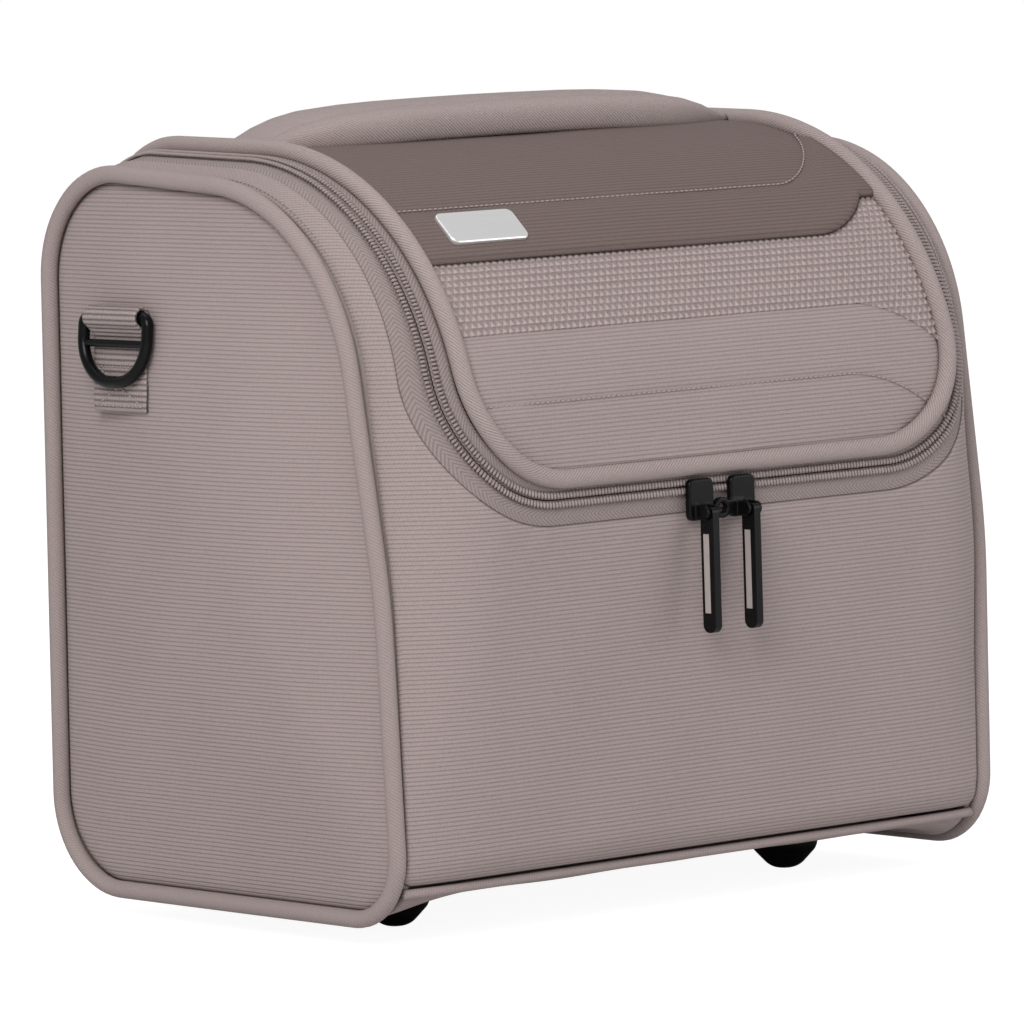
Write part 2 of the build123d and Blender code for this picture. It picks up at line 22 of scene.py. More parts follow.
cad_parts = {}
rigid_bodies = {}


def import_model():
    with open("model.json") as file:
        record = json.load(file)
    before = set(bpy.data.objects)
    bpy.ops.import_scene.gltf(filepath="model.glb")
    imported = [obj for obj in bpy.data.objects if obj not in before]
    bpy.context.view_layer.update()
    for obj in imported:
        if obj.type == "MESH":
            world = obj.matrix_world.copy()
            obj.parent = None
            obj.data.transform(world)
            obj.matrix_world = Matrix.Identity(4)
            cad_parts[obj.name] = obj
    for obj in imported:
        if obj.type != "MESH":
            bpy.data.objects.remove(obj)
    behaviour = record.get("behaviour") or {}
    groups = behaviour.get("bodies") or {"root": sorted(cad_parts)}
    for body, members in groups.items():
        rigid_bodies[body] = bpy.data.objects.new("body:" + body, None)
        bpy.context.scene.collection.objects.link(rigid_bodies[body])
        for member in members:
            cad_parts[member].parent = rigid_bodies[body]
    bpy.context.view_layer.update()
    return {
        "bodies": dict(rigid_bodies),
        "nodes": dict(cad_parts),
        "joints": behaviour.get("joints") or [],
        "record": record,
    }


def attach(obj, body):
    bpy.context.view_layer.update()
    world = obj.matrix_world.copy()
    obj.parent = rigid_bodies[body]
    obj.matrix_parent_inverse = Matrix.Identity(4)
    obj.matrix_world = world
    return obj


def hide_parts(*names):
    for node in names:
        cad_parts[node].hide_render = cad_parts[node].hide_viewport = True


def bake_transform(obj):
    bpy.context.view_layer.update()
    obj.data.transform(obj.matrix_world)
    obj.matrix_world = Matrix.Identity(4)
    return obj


LOG = logging.getLogger("cosmetic_case")
MM = 0.001
Array = np.ndarray


class Slot(str, Enum):
    """Material slots of the record."""

    RIBBED = "ribbed_fabric"
    PIPING = "piping_fabric"
    TWILL = "twill_fabric"
    DARK = "dark_fabric"
    RELIEF = "relief_fabric"
    LINING = "lining"
    FOAM = "foam"
    BOARD = "board"
    TAPE = "zip_tape"
    COIL = "zip_coil"
    WEBBING = "webbing"
    METAL = "black_metal"
    GLOSS = "black_gloss"
    INLAY = "inlay"
    BADGE = "badge_metal"
    FOOT = "foot_rubber"
    SCREW = "screw_steel"


# --------------------------------------------------------------------------- form


@dataclass(frozen=True)
class FormSpec:
    """Corners, radii and flare of the case's outer form."""

    side: tuple = ((-93.0, 9.0), (-91.5, 125.0), (-72.0, 266.0), (88.0, 276.0), (101.0, 9.0))
    middle: tuple = ((-96.0, 17.0), (-110.0, 150.0), (-110.0, 277.5), (90.0, 281.0), (101.0, 17.0))
    side_radii: tuple = (26.0, 260.0, 78.0, 42.0, 34.0)
    middle_radii: tuple = (18.0, 200.0, 112.0, 42.0, 34.0)
    seam_x: float = 142.8
    end_x: float = 139.25
    crown_from: float = 103.0
    flare: float = math.radians(1.3)
    hinge_in: tuple = (49.0, 238.0)
    hinge: tuple = (78.2, 270.6)
    bottom_seam: float = 20.5


@dataclass(frozen=True)
class Outline:
    """U outline of the zip family in the front view."""

    half: float
    low: float
    radius: float

    def grown(self, d: float) -> "Outline":
        """Return the outline offset outward.

        Args:
            d: Offset in millimetres.
        Returns:
            The offset outline.
        """
        return Outline(self.half + d, self.low - d, self.radius + d)

    def height(self, x: Array) -> Array:
        """Return the height of the lower edge at each x inside the outline."""
        run = np.clip(np.abs(x) - (self.half - self.radius), 0.0, self.radius)
        return self.low + self.radius - np.sqrt(np.maximum(self.radius**2 - run**2, 0.0))


ZIP = Outline(127.5, 155.5, 47.0)
LID_PIPING = Outline(118.0, 162.2, 42.0)
RELIEF_PITCH, RELIEF_ROW = 3.0, 2.8
# Painted shade: near seams the cloth colour is darkened towards SEAM_SHADE through a per-point attribute.
SEAM_SHADE_ATTRIBUTE = "seam"
SEAM_SHADE = (0.05, 0.036, 0.033)


class CaseForm:
    """The outer surface, addressed by x and by a place along its section."""

    ORDER = (3, 2, 1, 0, 4)
    LEVEL_Z = 60.0

    def __init__(self, spec: FormSpec) -> None:
        self.spec = spec
        pieces = []
        corners = self._rounds(np.array([0.0, 1.0]))
        for k, (_, radius, _, turn, _, last) in enumerate(corners):
            pieces.append(float((np.abs(turn) * radius).mean()))
            follow = corners[(k + 1) % len(corners)][4]
            pieces.append(float(np.linalg.norm(follow - last, axis=1).mean()))
        self.breaks = np.concatenate([[0.0], np.cumsum(pieces)])
        self.period = float(self.breaks[-1])
        self.loop_t = np.linspace(0, self.period, 500, endpoint=False)
        self.table_x = np.linspace(-150.0, 150.0, 151)
        self.table_t = np.linspace(0.0, self.period, 901)
        places = self.at(*np.meshgrid(self.table_x, self.table_t, indexing="ij")) / MM
        self.table_z = places[..., 2]
        steps = np.linalg.norm(np.diff(places, axis=1), axis=2)
        self.table_run = np.hstack([np.zeros((len(self.table_x), 1)), np.cumsum(steps, axis=1)])
        level = self.front_t(self.table_x, np.full_like(self.table_x, self.LEVEL_Z))
        start = [np.interp(t, self.table_t, row) for t, row in zip(level, self.table_run)]
        self.table_run -= np.array(start)[:, None]

    def _rounds(self, share: Array) -> list:
        """Rounded corners of the sections with these shares of the middle form."""
        spec = self.spec
        g = share[:, None]
        count = len(self.ORDER)
        corner = [np.array(spec.side[i]) * (1 - g) + np.array(spec.middle[i]) * g for i in self.ORDER]
        radius = [spec.side_radii[i] * (1 - share) + spec.middle_radii[i] * share for i in self.ORDER]
        out = []
        for k in range(count):
            a = corner[k - 1] - corner[k]
            b = corner[(k + 1) % count] - corner[k]
            a /= np.linalg.norm(a, axis=1, keepdims=True)
            b /= np.linalg.norm(b, axis=1, keepdims=True)
            half = np.arccos(np.clip((a * b).sum(1), -1, 1)) / 2
            reach = (radius[k] / np.tan(half))[:, None]
            bisector = (a + b) / np.linalg.norm(a + b, axis=1, keepdims=True)
            centre = corner[k] + bisector * (radius[k] / np.sin(half))[:, None]
            first, last = corner[k] + a * reach, corner[k] + b * reach
            start = np.arctan2(*(first - centre).T[::-1])
            end = np.arctan2(*(last - centre).T[::-1])
            turn = np.mod(end - start + np.pi, 2 * np.pi) - np.pi
            out.append((centre, radius[k], start, turn, first, last))
        return out

    def section(self, share: Array, t: Array) -> Array:
        """Return points (y, z) of sections, addressed by a place along the middle section."""
        shape = np.shape(t)
        share, u = np.ravel(share), np.mod(np.ravel(t), self.period)
        piece = np.clip(np.searchsorted(self.breaks, u, side="right") - 1, 0, 2 * len(self.ORDER) - 1)
        w = ((u - self.breaks[piece]) / (self.breaks[piece + 1] - self.breaks[piece]))[:, None]
        corners = self._rounds(share)
        out = np.zeros((u.size, 2))
        for k, (centre, radius, start, turn, _, last) in enumerate(corners):
            angle = start + turn * w[:, 0]
            arc = centre + radius[:, None] * np.stack([np.cos(angle), np.sin(angle)], 1)
            line = last * (1 - w) + corners[(k + 1) % len(corners)][4] * w
            out = np.where((piece == 2 * k)[:, None], arc, out)
            out = np.where((piece == 2 * k + 1)[:, None], line, out)
        return out.reshape(*shape, 2)

    def share(self, station: Array) -> Array:
        """Return how much of the middle section a station has."""
        s = self.spec
        run = np.clip((np.abs(station) - s.crown_from) / (s.end_x - s.crown_from), 0, 1)
        return 1.0 - run**2

    def at(self, x: Array, t: Array, lift: Array | float = 0.0, station: bool = False) -> Array:
        """Return surface points.

        Args:
            x: Distance across, or the station at the floor when station is true.
            t: Place along the section.
            lift: Distance outward from the skin.
            station: True when x follows the flare of the sides.
        Returns:
            Points in metres, with a last axis of three.
        """
        x, t = np.broadcast_arrays(np.asarray(x, float), np.asarray(t, float))
        k = self.spec.flare / self.spec.seam_x
        place = x
        z = self.section(np.ones(x.size), t)[..., 1]
        for _ in range(3):
            place = x if station else x / (1 + z * k)
            yz = self.section(self.share(place), t)
            z = yz[..., 1]
        out = np.stack([place * (1 + z * k), yz[..., 0], yz[..., 1]], -1)
        if np.any(np.asarray(lift) != 0):
            out = out + self.normal(x, t, station) * np.broadcast_to(lift, x.shape)[..., None]
        return out * MM

    def normal(self, x: Array, t: Array, station: bool = False) -> Array:
        """Return outward unit normals at surface points."""
        e = 0.6
        along = self.at(x, np.asarray(t) + e, 0.0, station) - self.at(x, np.asarray(t) - e, 0.0, station)
        across = self.at(np.asarray(x) + e, t, 0.0, station) - self.at(np.asarray(x) - e, t, 0.0, station)
        n = np.cross(along, across)
        n = n / np.maximum(np.linalg.norm(n, axis=-1, keepdims=True), 1e-12)
        return n

    def front_t(self, x: Array, z: Array) -> Array:
        """Return the place along the section where the front has height z at x."""
        near, share = self._column(x)
        keep = (self.table_t >= self.t_top) & (self.table_t <= self.t_low)
        out = []
        for i, w, b in zip(near.ravel(), share.ravel(), np.broadcast_to(z, near.shape).ravel()):
            heights = self.table_z[i, keep] * (1 - w) + self.table_z[i + 1, keep] * w
            out.append(np.interp(-b, -heights, self.table_t[keep]))
        return np.array(out).reshape(near.shape)

    def _column(self, x: Array) -> tuple[Array, Array]:
        """Return the table columns on the left of each x and the share of the next ones."""
        place = (np.clip(x, -149.9, 149.9) + 150.0) / (self.table_x[1] - self.table_x[0])
        near = np.floor(place).astype(int)
        return near, place - near

    def cloth(self, x: Array, t: Array) -> Array:
        """Return UV distances in metres: across, and along the cloth from a level line on the front."""
        x, t = np.broadcast_arrays(np.asarray(x, float), np.asarray(t, float))
        near, share = self._column(x)
        turns = np.floor(t / self.period)
        place = (t / self.period - turns) * (len(self.table_t) - 1)
        row = np.minimum(place.astype(int), len(self.table_t) - 2)
        w = place - row
        run = 0.0
        for column, part in ((near, 1 - share), (near + 1, share)):
            low, high = self.table_run[column, row], self.table_run[column, row + 1]
            around = self.table_run[column, -1] - self.table_run[column, 0]
            run = run + part * (low * (1 - w) + high * w + turns * around)
        return np.stack([x, run], -1) * MM

    def hinge_t(self, x: Array) -> Array:
        """Return the place along the section of the hinge line at x."""
        h0, h1 = np.array(self.spec.hinge_in), np.array(self.spec.hinge)
        d = h1 - h0
        grid = np.linspace(0.0, 120.0, 160)
        out = []
        for a in np.atleast_1d(x):
            p = self.at(np.full_like(grid, a), grid)[:, 1:] / MM - h0
            out.append(np.interp(0.0, d[0] * p[:, 1] - d[1] * p[:, 0], grid))
        return np.array(out)

    @property
    def t_top(self) -> float:
        """Place near the top middle of the section."""
        return float(self.breaks[2] - 6.0)

    @property
    def t_low(self) -> float:
        """Place where the front meets the underside."""
        return float(self.breaks[7] - 1.0)


# --------------------------------------------------------------------------- meshes


class Piece:
    """A closed mesh with a UV map of real distances, riding on a body."""

    def __init__(self, name: str, verts: Array, faces: list, uv: Array | None = None) -> None:
        mesh = bpy.data.meshes.new(name)
        mesh.from_pydata([tuple(v) for v in verts], [], [tuple(f) for f in faces])
        mesh.update()
        if uv is not None:
            layer = mesh.uv_layers.new(name="UVMap")
            loops = np.empty(len(mesh.loops), dtype=np.int64)
            mesh.loops.foreach_get("vertex_index", loops)
            layer.data.foreach_set("uv", np.asarray(uv, np.float32)[loops].ravel())
        self.obj = bpy.data.objects.new(name, mesh)
        bpy.context.scene.collection.objects.link(self.obj)
        mesh.shade_smooth()

    def seamed(self, distance: Array, width: float = 0.75) -> "Piece":
        """Mark how near each point is to a seam, where painted shade darkens the cloth's colour as it turns
        in.

        Args:
            distance: Distance of each point to its nearest seam, in millimetres.
            width: Distance at which the mark has faded to a third.
        Returns:
            The piece.
        """
        layer = self.obj.data.attributes.new(SEAM_SHADE_ATTRIBUTE, "FLOAT", "POINT")
        near = np.exp(-((np.maximum(distance, 0.0) / width) ** 2))
        layer.data.foreach_set("value", near.ravel().astype(np.float32))
        return self

    def thick(self, depth: float) -> "Piece":
        """Give the sheet a thickness inward and close it."""
        return self.modified("SOLIDIFY", thickness=depth * MM, offset=-1.0, use_rim=True)

    def closed(self, depth: float) -> "Piece":
        """Give the sheet a thickness inward and turn the closed mesh outward."""
        self.thick(depth)
        make_outward(self.obj.data)
        return self

    def modified(self, kind: str, **settings) -> "Piece":
        """Apply one modifier to the mesh."""
        mod = self.obj.modifiers.new(kind.title(), kind)
        for key, value in settings.items():
            setattr(mod, key, value)
        graph = bpy.context.evaluated_depsgraph_get()
        mesh = bpy.data.meshes.new_from_object(self.obj.evaluated_get(graph))
        self.obj.modifiers.clear()
        old = self.obj.data
        self.obj.data = mesh
        bpy.data.meshes.remove(old)
        mesh.name = self.obj.name
        return self

    def sheet(self, rests_on: Sequence[str]) -> "Piece":
        """Read the piece's UV map and return the piece."""
        mesh = self.obj.data
        uv = np.empty(len(mesh.loops) * 2, np.float32)
        mesh.uv_layers["UVMap"].data.foreach_get("uv", uv)
        return self

    def done(self, body: str, slot: Slot, look: "Looks", replaces: Sequence[str] = ()) -> bpy.types.Object:
        """Finish the piece: material, body, slot and what it stands for."""
        self.obj.data.materials.clear()
        self.obj.data.materials.append(look.get(slot))
        self.obj.data.shade_smooth()
        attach(self.obj, body)
        if replaces:
            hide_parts(*replaces)
        LOG.info("piece %s: %d faces, rides on %s", self.obj.name, len(self.obj.data.polygons), body)
        return self.obj


def run_along(path: Array) -> Array:
    """Return the distance of each point of a path from its start."""
    return np.concatenate([[0], np.cumsum(np.linalg.norm(np.diff(path, axis=0), axis=1))])


def points_at(path: Array, run: Array, at: Array) -> Array:
    """Return the points of a path at some distances from its start.

    Args:
        path: Points of the path.
        run: Distance of each point from the start.
        at: Distances wanted.
    Returns:
        One point for each distance.
    """
    return np.stack([np.interp(at, run, column) for column in path.T], 1)


def even(loop: Array, count: int) -> Array:
    """Spread points evenly along a closed loop."""
    closed = np.vstack([loop, loop[:1]])
    run = run_along(closed)
    return points_at(closed, run, np.linspace(0, run[-1], count, endpoint=False))


def caps(rows: int, cols: int, base: int = 0) -> list:
    """Return the two end faces of a grid that is closed round its rows."""
    last = base + (rows - 1) * cols
    return [tuple(base + j for j in range(cols))[::-1], tuple(last + j for j in range(cols))]


def grid_faces(rows: int, cols: int, base: int = 0, wrap: bool = False) -> list:
    """Return quads of a grid stored row by row; wrap joins the last column to the first."""
    out = []
    last = cols if wrap else cols - 1
    for i in range(rows - 1):
        for j in range(last):
            k = (j + 1) % cols
            here, below = base + i * cols, base + (i + 1) * cols
            out.append((here + j, here + k, below + k, below + j))
    return out


def sheet_mesh(name: str, points: Array, uv: Array, flip: bool = True) -> Piece:
    """Make a piece from a grid whose rows run down the front and whose columns run to the right."""
    rows, cols = points.shape[:2]
    faces = grid_faces(rows, cols)
    if flip:
        faces = [f[::-1] for f in faces]
    return Piece(name, points.reshape(-1, 3), faces, uv.reshape(-1, 2))


def frames_along(path: Array, closed: bool) -> tuple[Array, Array, Array]:
    """Return tangents and two steady cross directions along a path."""
    if closed:
        tangent = np.roll(path, -1, 0) - np.roll(path, 1, 0)
    else:
        tangent = np.gradient(path, axis=0)
    tangent /= np.linalg.norm(tangent, axis=1, keepdims=True)
    ref = np.array([0.0, 0.0, 1.0]) if abs(tangent[0][2]) < 0.8 else np.array([0.0, 1.0, 0.0])
    side = np.cross(tangent[0], ref)
    side /= np.linalg.norm(side)
    sides = [side]
    for t in tangent[1:]:
        side = sides[-1] - t * (sides[-1] @ t)
        sides.append(side / np.linalg.norm(side))
    s = np.array(sides)
    return tangent, s, np.cross(tangent, s)


def tube_mesh(name: str, path: Array, radius: float | Array, sides: int = 16, closed: bool = False) -> Piece:
    """Make a round tube along a path.

    Args:
        name: Name of the piece.
        path: Points in metres.
        radius: One radius or one for each point, in millimetres.
        sides: Sides of the section.
        closed: True for a loop.
    Returns:
        The closed piece, with distances in its UV map.
    """
    _, a, b = frames_along(path, closed)
    angle = np.linspace(0, 2 * np.pi, sides, endpoint=False)
    r = np.broadcast_to(np.asarray(radius, float) * MM, (len(path),))
    ring = path[:, None] + r[:, None, None] * (
        a[:, None] * np.cos(angle)[None, :, None] + b[:, None] * np.sin(angle)[None, :, None]
    )
    steps = np.linalg.norm(np.diff(path, axis=0), axis=1)
    run = np.concatenate([[0], np.cumsum(steps)])
    uv = np.stack(np.broadcast_arrays(run[:, None], angle[None] * r.mean()), -1)
    n = len(path)
    verts = ring.reshape(-1, 3)
    faces = grid_faces(n, sides, wrap=True)
    if closed:
        end = (n - 1) * sides
        faces += [(end + j, end + (j + 1) % sides, (j + 1) % sides, j) for j in range(sides)]
    else:
        faces += caps(n, sides)
    piece = Piece(name, verts, faces, uv.reshape(-1, 2))
    length = float(run[-1] + (steps.mean() if closed else 0))
    close_uv(piece.obj.data, n, sides, closed, length, float(2 * np.pi * r.mean()))
    make_outward(piece.obj.data)
    return piece


def close_uv(mesh: bpy.types.Mesh, rows: int, cols: int, loop: bool, length: float, girth: float) -> None:
    """Let the UV map run on where a grid of rows and columns meets its own start.

    Args:
        mesh: Mesh whose vertices are stored row by row.
        rows: Rows of the grid.
        cols: Columns of the grid, which always meet.
        loop: True when the last row meets the first.
        length: U after the last row.
        girth: V after the last column.
    """
    layer = mesh.uv_layers["UVMap"].data
    for face in mesh.polygons:
        if len(face.vertices) != 4:
            continue
        row = [v // cols for v in face.vertices]
        col = [v % cols for v in face.vertices]
        for index, i, j in zip(face.loop_indices, row, col):
            if j == 0 and max(col) == cols - 1:
                layer[index].uv[1] = girth
            if loop and i == 0 and max(row) == rows - 1:
                layer[index].uv[0] = length


def make_outward(mesh: bpy.types.Mesh) -> None:
    """Turn all faces outward when the enclosed volume comes out negative."""
    mesh.calc_loop_triangles()
    co = np.empty(len(mesh.vertices) * 3)
    mesh.vertices.foreach_get("co", co)
    co = co.reshape(-1, 3)
    tri = np.array([t.vertices[:] for t in mesh.loop_triangles])
    a, b, c = co[tri[:, 0]], co[tri[:, 1]], co[tri[:, 2]]
    if np.einsum("ij,ij->i", a, np.cross(b, c)).sum() < 0:
        mesh.flip_normals()


# --------------------------------------------------------------------------- shaders


class Sock:
    """A shader value that takes part in arithmetic."""

    def __init__(self, net: "Net", out: bpy.types.NodeSocket) -> None:
        self.net, self.out = net, out

    def _op(self, kind: str, *others) -> "Sock":
        """Join this value and others in one operation."""
        return self.net.math(kind, self, *others)

    def __add__(self, o): return self._op("ADD", o)
    def __radd__(self, o): return self._op("ADD", o)
    def __sub__(self, o): return self._op("SUBTRACT", o)
    def __rsub__(self, o): return self.net.math("SUBTRACT", o, self)
    def __mul__(self, o): return self._op("MULTIPLY", o)
    def __rmul__(self, o): return self._op("MULTIPLY", o)
    def __truediv__(self, o): return self._op("DIVIDE", o)


class Net:
    """Builds a material's nodes."""

    def __init__(self, name: str) -> None:
        self.material = bpy.data.materials.new(name)
        self.material.use_nodes = True
        self.tree = self.material.node_tree
        self.tree.nodes.clear()
        self.output = self.node("ShaderNodeOutputMaterial")
        self.shader = self.node("ShaderNodeBsdfPrincipled")
        self.tree.links.new(self.shader.outputs[0], self.output.inputs[0])

    def node(self, kind: str, settings: dict | None = None, inputs: dict | None = None):
        """Make a node, set its settings and then its sockets."""
        made = self.tree.nodes.new(kind)
        for key, value in (settings or {}).items():
            setattr(made, key, value)
        for key, value in (inputs or {}).items():
            self.feed(made.inputs[key], value)
        return made

    def feed(self, socket: bpy.types.NodeSocket, value) -> None:
        """Link or set a socket."""
        if isinstance(value, Sock):
            self.tree.links.new(value.out, socket)
        else:
            socket.default_value = value

    def math(self, kind: str, *values) -> Sock:
        """One scalar operation."""
        made = self.node("ShaderNodeMath", {"operation": kind}, dict(enumerate(values)))
        return Sock(self, made.outputs[0])

    def uv(self) -> tuple[Sock, Sock]:
        """Distances along and across the cloth, in metres."""
        made = self.node("ShaderNodeUVMap", {"uv_map": "UVMap"})
        split = self.node("ShaderNodeSeparateXYZ", inputs={0: Sock(self, made.outputs[0])})
        return Sock(self, split.outputs[0]), Sock(self, split.outputs[1])

    def place(self) -> Sock:
        """Object coordinates."""
        return Sock(self, self.node("ShaderNodeTexCoord").outputs["Object"])

    def noise(self, scale: float, detail: float = 3.0, at: Sock | None = None) -> Sock:
        """Noise between 0 and 1."""
        inputs = {"Vector": at or self.place(), "Scale": scale, "Detail": detail}
        made = self.node("ShaderNodeTexNoise", inputs=inputs)
        return Sock(self, made.outputs[0])

    def clamp(self, value: Sock) -> Sock:
        """Keep a value between 0 and 1."""
        return self.math("MINIMUM", self.math("MAXIMUM", value, 0.0), 1.0)

    def wave(self, value: Sock, pitch: float) -> Sock:
        """A sine between 0 and 1 with this pitch in metres."""
        return self.math("SINE", value * (2 * math.pi / pitch)) * 0.5 + 0.5

    def mix(self, share, a: Sequence, b: Sequence) -> Sock:
        """Blend two colours."""
        made = self.node("ShaderNodeMix", {"data_type": "RGBA"})
        self.feed(made.inputs[0], share)
        for index, colour in ((6, a), (7, b)):
            self.feed(made.inputs[index], colour if isinstance(colour, Sock) else (*colour, 1.0))
        return Sock(self, made.outputs[2])

    def bump(self, height: Sock, distance: float, strength: float = 1.0) -> None:
        """Drive the shader's normal from a height."""
        inputs = {"Strength": strength, "Distance": distance, "Height": height}
        made = self.node("ShaderNodeBump", inputs=inputs)
        self.tree.links.new(made.outputs[0], self.shader.inputs["Normal"])

    def set(self, **values) -> "Net":
        """Set sockets of the shader by their names with underscores for spaces."""
        for key, value in values.items():
            name = key.replace("_", " ")
            if name == "Base Color" and not isinstance(value, Sock):
                value = (*value, 1.0)
            self.feed(self.shader.inputs[name], value)
        return self


class Looks:
    """Materials of the case, made once for each slot."""

    def __init__(self) -> None:
        self._made: dict[Slot, bpy.types.Material] = {}

    def get(self, slot: Slot) -> bpy.types.Material:
        """Return the slot's material."""
        if slot not in self._made:
            net = Net(slot.value)
            getattr(self, "_" + slot.name.lower())(net)
            self._made[slot] = net.material
            LOG.info("material %s", slot.value)
        return self._made[slot]

    LIGHT = (0.375, 0.303, 0.290)
    SHADE = (0.225, 0.178, 0.169)

    @staticmethod
    def _cloth(
        net: Net, light: Sequence, dark: Sequence, pattern: Sock, depth: float, rough: float = 0.85
    ) -> None:
        """Cloth whose colour and height follow one pattern, with painted shade darkening the colour next to
        seams.

        Args:
            net: Material that is being made.
            light: Colour where the pattern is high.
            dark: Colour where the pattern is low.
            pattern: Pattern between 0 and 1.
            depth: Height of the relief in metres.
            rough: Roughness of the cloth.
        """
        blotch = net.noise(7.0, 4.0)
        grain = net.noise(1500.0, 3.0)
        # Painted shade: the seam attribute mixes the colour towards SEAM_SHADE next to seams.
        seam = Sock(net, net.node("ShaderNodeAttribute", {"attribute_name": SEAM_SHADE_ATTRIBUTE}).outputs["Fac"])
        shade = pattern * 0.72 + (blotch - 0.5) * 0.3 + (grain - 0.5) * 0.8 + 0.15
        cloth = net.mix(net.clamp(shade), dark, light)
        net.set(Base_Color=net.mix(net.clamp(seam), cloth, SEAM_SHADE), Roughness=rough)
        net.bump(pattern + grain * 0.3, depth)

    @staticmethod
    def _groove(net: Net, value: Sock, pitch: float, power: float) -> Sock:
        """Wide ribs with narrow grooves between them, 1 on the ribs."""
        return 1.0 - net.math("POWER", 1.0 - net.wave(value, pitch), power)

    def _ribbed(self, net: Net) -> None:
        """Fine ribs along the width, broken by small crosses."""
        across, along = net.uv()
        rib = self._groove(net, along, 0.00155, 4.0)
        cross = net.wave(across + along * 0.35, 0.00086)
        other = net.wave(across * 0.5 - along, 0.0007)
        self._cloth(net, self.LIGHT, self.SHADE, rib * 0.74 + cross * 0.2 + other * 0.14, 0.00024)

    def _piping(self, net: Net) -> None:
        """Fine twill of the side piping."""
        along, around = net.uv()
        pattern = self._groove(net, along + around * 0.6, 0.0012, 2.0)
        self._cloth(net, (0.36, 0.29, 0.277), self.SHADE, pattern * 0.6 + 0.3, 0.00012)

    def _twill(self, net: Net) -> None:
        """Diagonal twill."""
        across, along = net.uv()
        pattern = self._groove(net, across + along * 1.2, 0.0015, 2.5)
        self._cloth(net, (0.41, 0.332, 0.317), (0.21, 0.166, 0.157), pattern * 0.8 + 0.1, 0.00016)

    def _dark(self, net: Net) -> None:
        """Darker smooth cloth with fine ribs."""
        across, along = net.uv()
        pattern = self._groove(net, along, 0.0017, 3.0) * (net.wave(across, 0.0011) * 0.4 + 0.6)
        self._cloth(net, (0.170, 0.121, 0.110), (0.092, 0.065, 0.059), pattern, 0.00016, 0.8)

    def _relief(self, net: Net) -> None:
        """Cloth of the raised triangle band."""
        across, along = net.uv()
        run = along / (RELIEF_ROW * MM)
        odd = net.math("FLOORED_MODULO", net.math("FLOOR", run), 2.0)
        u = net.math("FRACT", across / (RELIEF_PITCH * MM) + odd * 0.5)
        down = net.math("FRACT", run)
        inside = net.clamp((down - net.math("ABSOLUTE", u * 2.0 - 1.0)) * 3.0)
        pattern = inside * (down * 0.45 + 0.3) + net.wave(across + along * 0.5, 0.0008) * 0.25
        self._cloth(net, (0.50, 0.407, 0.39), (0.20, 0.158, 0.150), pattern, 0.00012, 0.75)

    def _lining(self, net: Net) -> None:
        """Plain woven lining."""
        place = net.noise(900.0, 2.0)
        self._cloth(net, (0.21, 0.19, 0.19), (0.15, 0.135, 0.135), place, 0.0001, 0.7)

    def _foam(self, net: Net) -> None:
        """Open cell foam, coloured dark as painted shade where its edges show between lining and cover."""
        # Painted shade: dark taupe foam colours stand in for the shade in the gap between lining and cover.
        self._cloth(net, (0.15, 0.132, 0.128), (0.10, 0.088, 0.085), net.noise(700.0, 3.0), 0.0004)

    def _board(self, net: Net) -> None:
        """Stiffening board."""
        self._cloth(net, (0.30, 0.25, 0.22), (0.22, 0.18, 0.16), net.noise(300.0, 3.0), 0.0001)

    def _tape(self, net: Net) -> None:
        """Herringbone tape."""
        along, across = net.uv()
        fold = net.math("PINGPONG", across, 0.0031)
        pattern = self._groove(net, along + fold * 1.3, 0.0018, 1.6)
        self._cloth(net, (0.33, 0.265, 0.252), (0.175, 0.138, 0.131), pattern * 0.75 + 0.12, 0.00018)

    def _coil(self, net: Net) -> None:
        """Satin nylon of the zip teeth."""
        tint = net.noise(400.0, 1.0)
        net.set(Base_Color=net.mix(tint, (0.25, 0.198, 0.187), (0.34, 0.272, 0.258)), Roughness=0.42)

    def _webbing(self, net: Net) -> None:
        """Ribbed webbing."""
        across, along = net.uv()
        rib = self._groove(net, along, 0.0021, 2.2)
        thread = net.wave(across, 0.0014)
        self._cloth(net, (0.42, 0.345, 0.33), (0.10, 0.077, 0.072), rib * (thread * 0.3 + 0.7), 0.0004)

    @staticmethod
    def _black(net: Net, rough: float, spread: float, coat: float) -> None:
        """Black surface with a little unevenness in its shine."""
        wear = net.noise(60.0, 4.0)
        net.set(Base_Color=(0.0035, 0.0035, 0.004), Roughness=wear * spread + rough, Coat_Weight=coat,
                Specular_IOR_Level=0.13)

    def _metal(self, net: Net) -> None:
        """Satin black enamel on metal."""
        self._black(net, 0.2, 0.15, 0.05)

    def _gloss(self, net: Net) -> None:
        """Gloss black."""
        self._black(net, 0.14, 0.1, 0.12)

    def _inlay(self, net: Net) -> None:
        """Taupe inlay of the pullers."""
        tint = net.noise(200.0, 2.0)
        net.set(Base_Color=net.mix(tint, (0.34, 0.30, 0.285), (0.42, 0.37, 0.35)), Roughness=0.45)

    def _badge(self, net: Net) -> None:
        """Satin plate with fine brush lines."""
        place = net.node("ShaderNodeMapping", inputs={"Vector": net.place(), "Scale": (20.0, 900.0, 900.0)})
        brush = net.noise(1.0, 3.0, Sock(net, place.outputs[0]))
        net.set(Base_Color=(0.88, 0.86, 0.85), Roughness=brush * 0.2 + 0.26, Metallic=0.72)

    def _foot(self, net: Net) -> None:
        """Black moulded plastic."""
        self._black(net, 0.38, 0.2, 0.0)

    def _screw(self, net: Net) -> None:
        """Plain steel."""
        net.set(Base_Color=(0.55, 0.55, 0.55), Roughness=net.noise(300.0, 2.0) * 0.2 + 0.25, Metallic=1.0)


# --------------------------------------------------------------------------- pieces


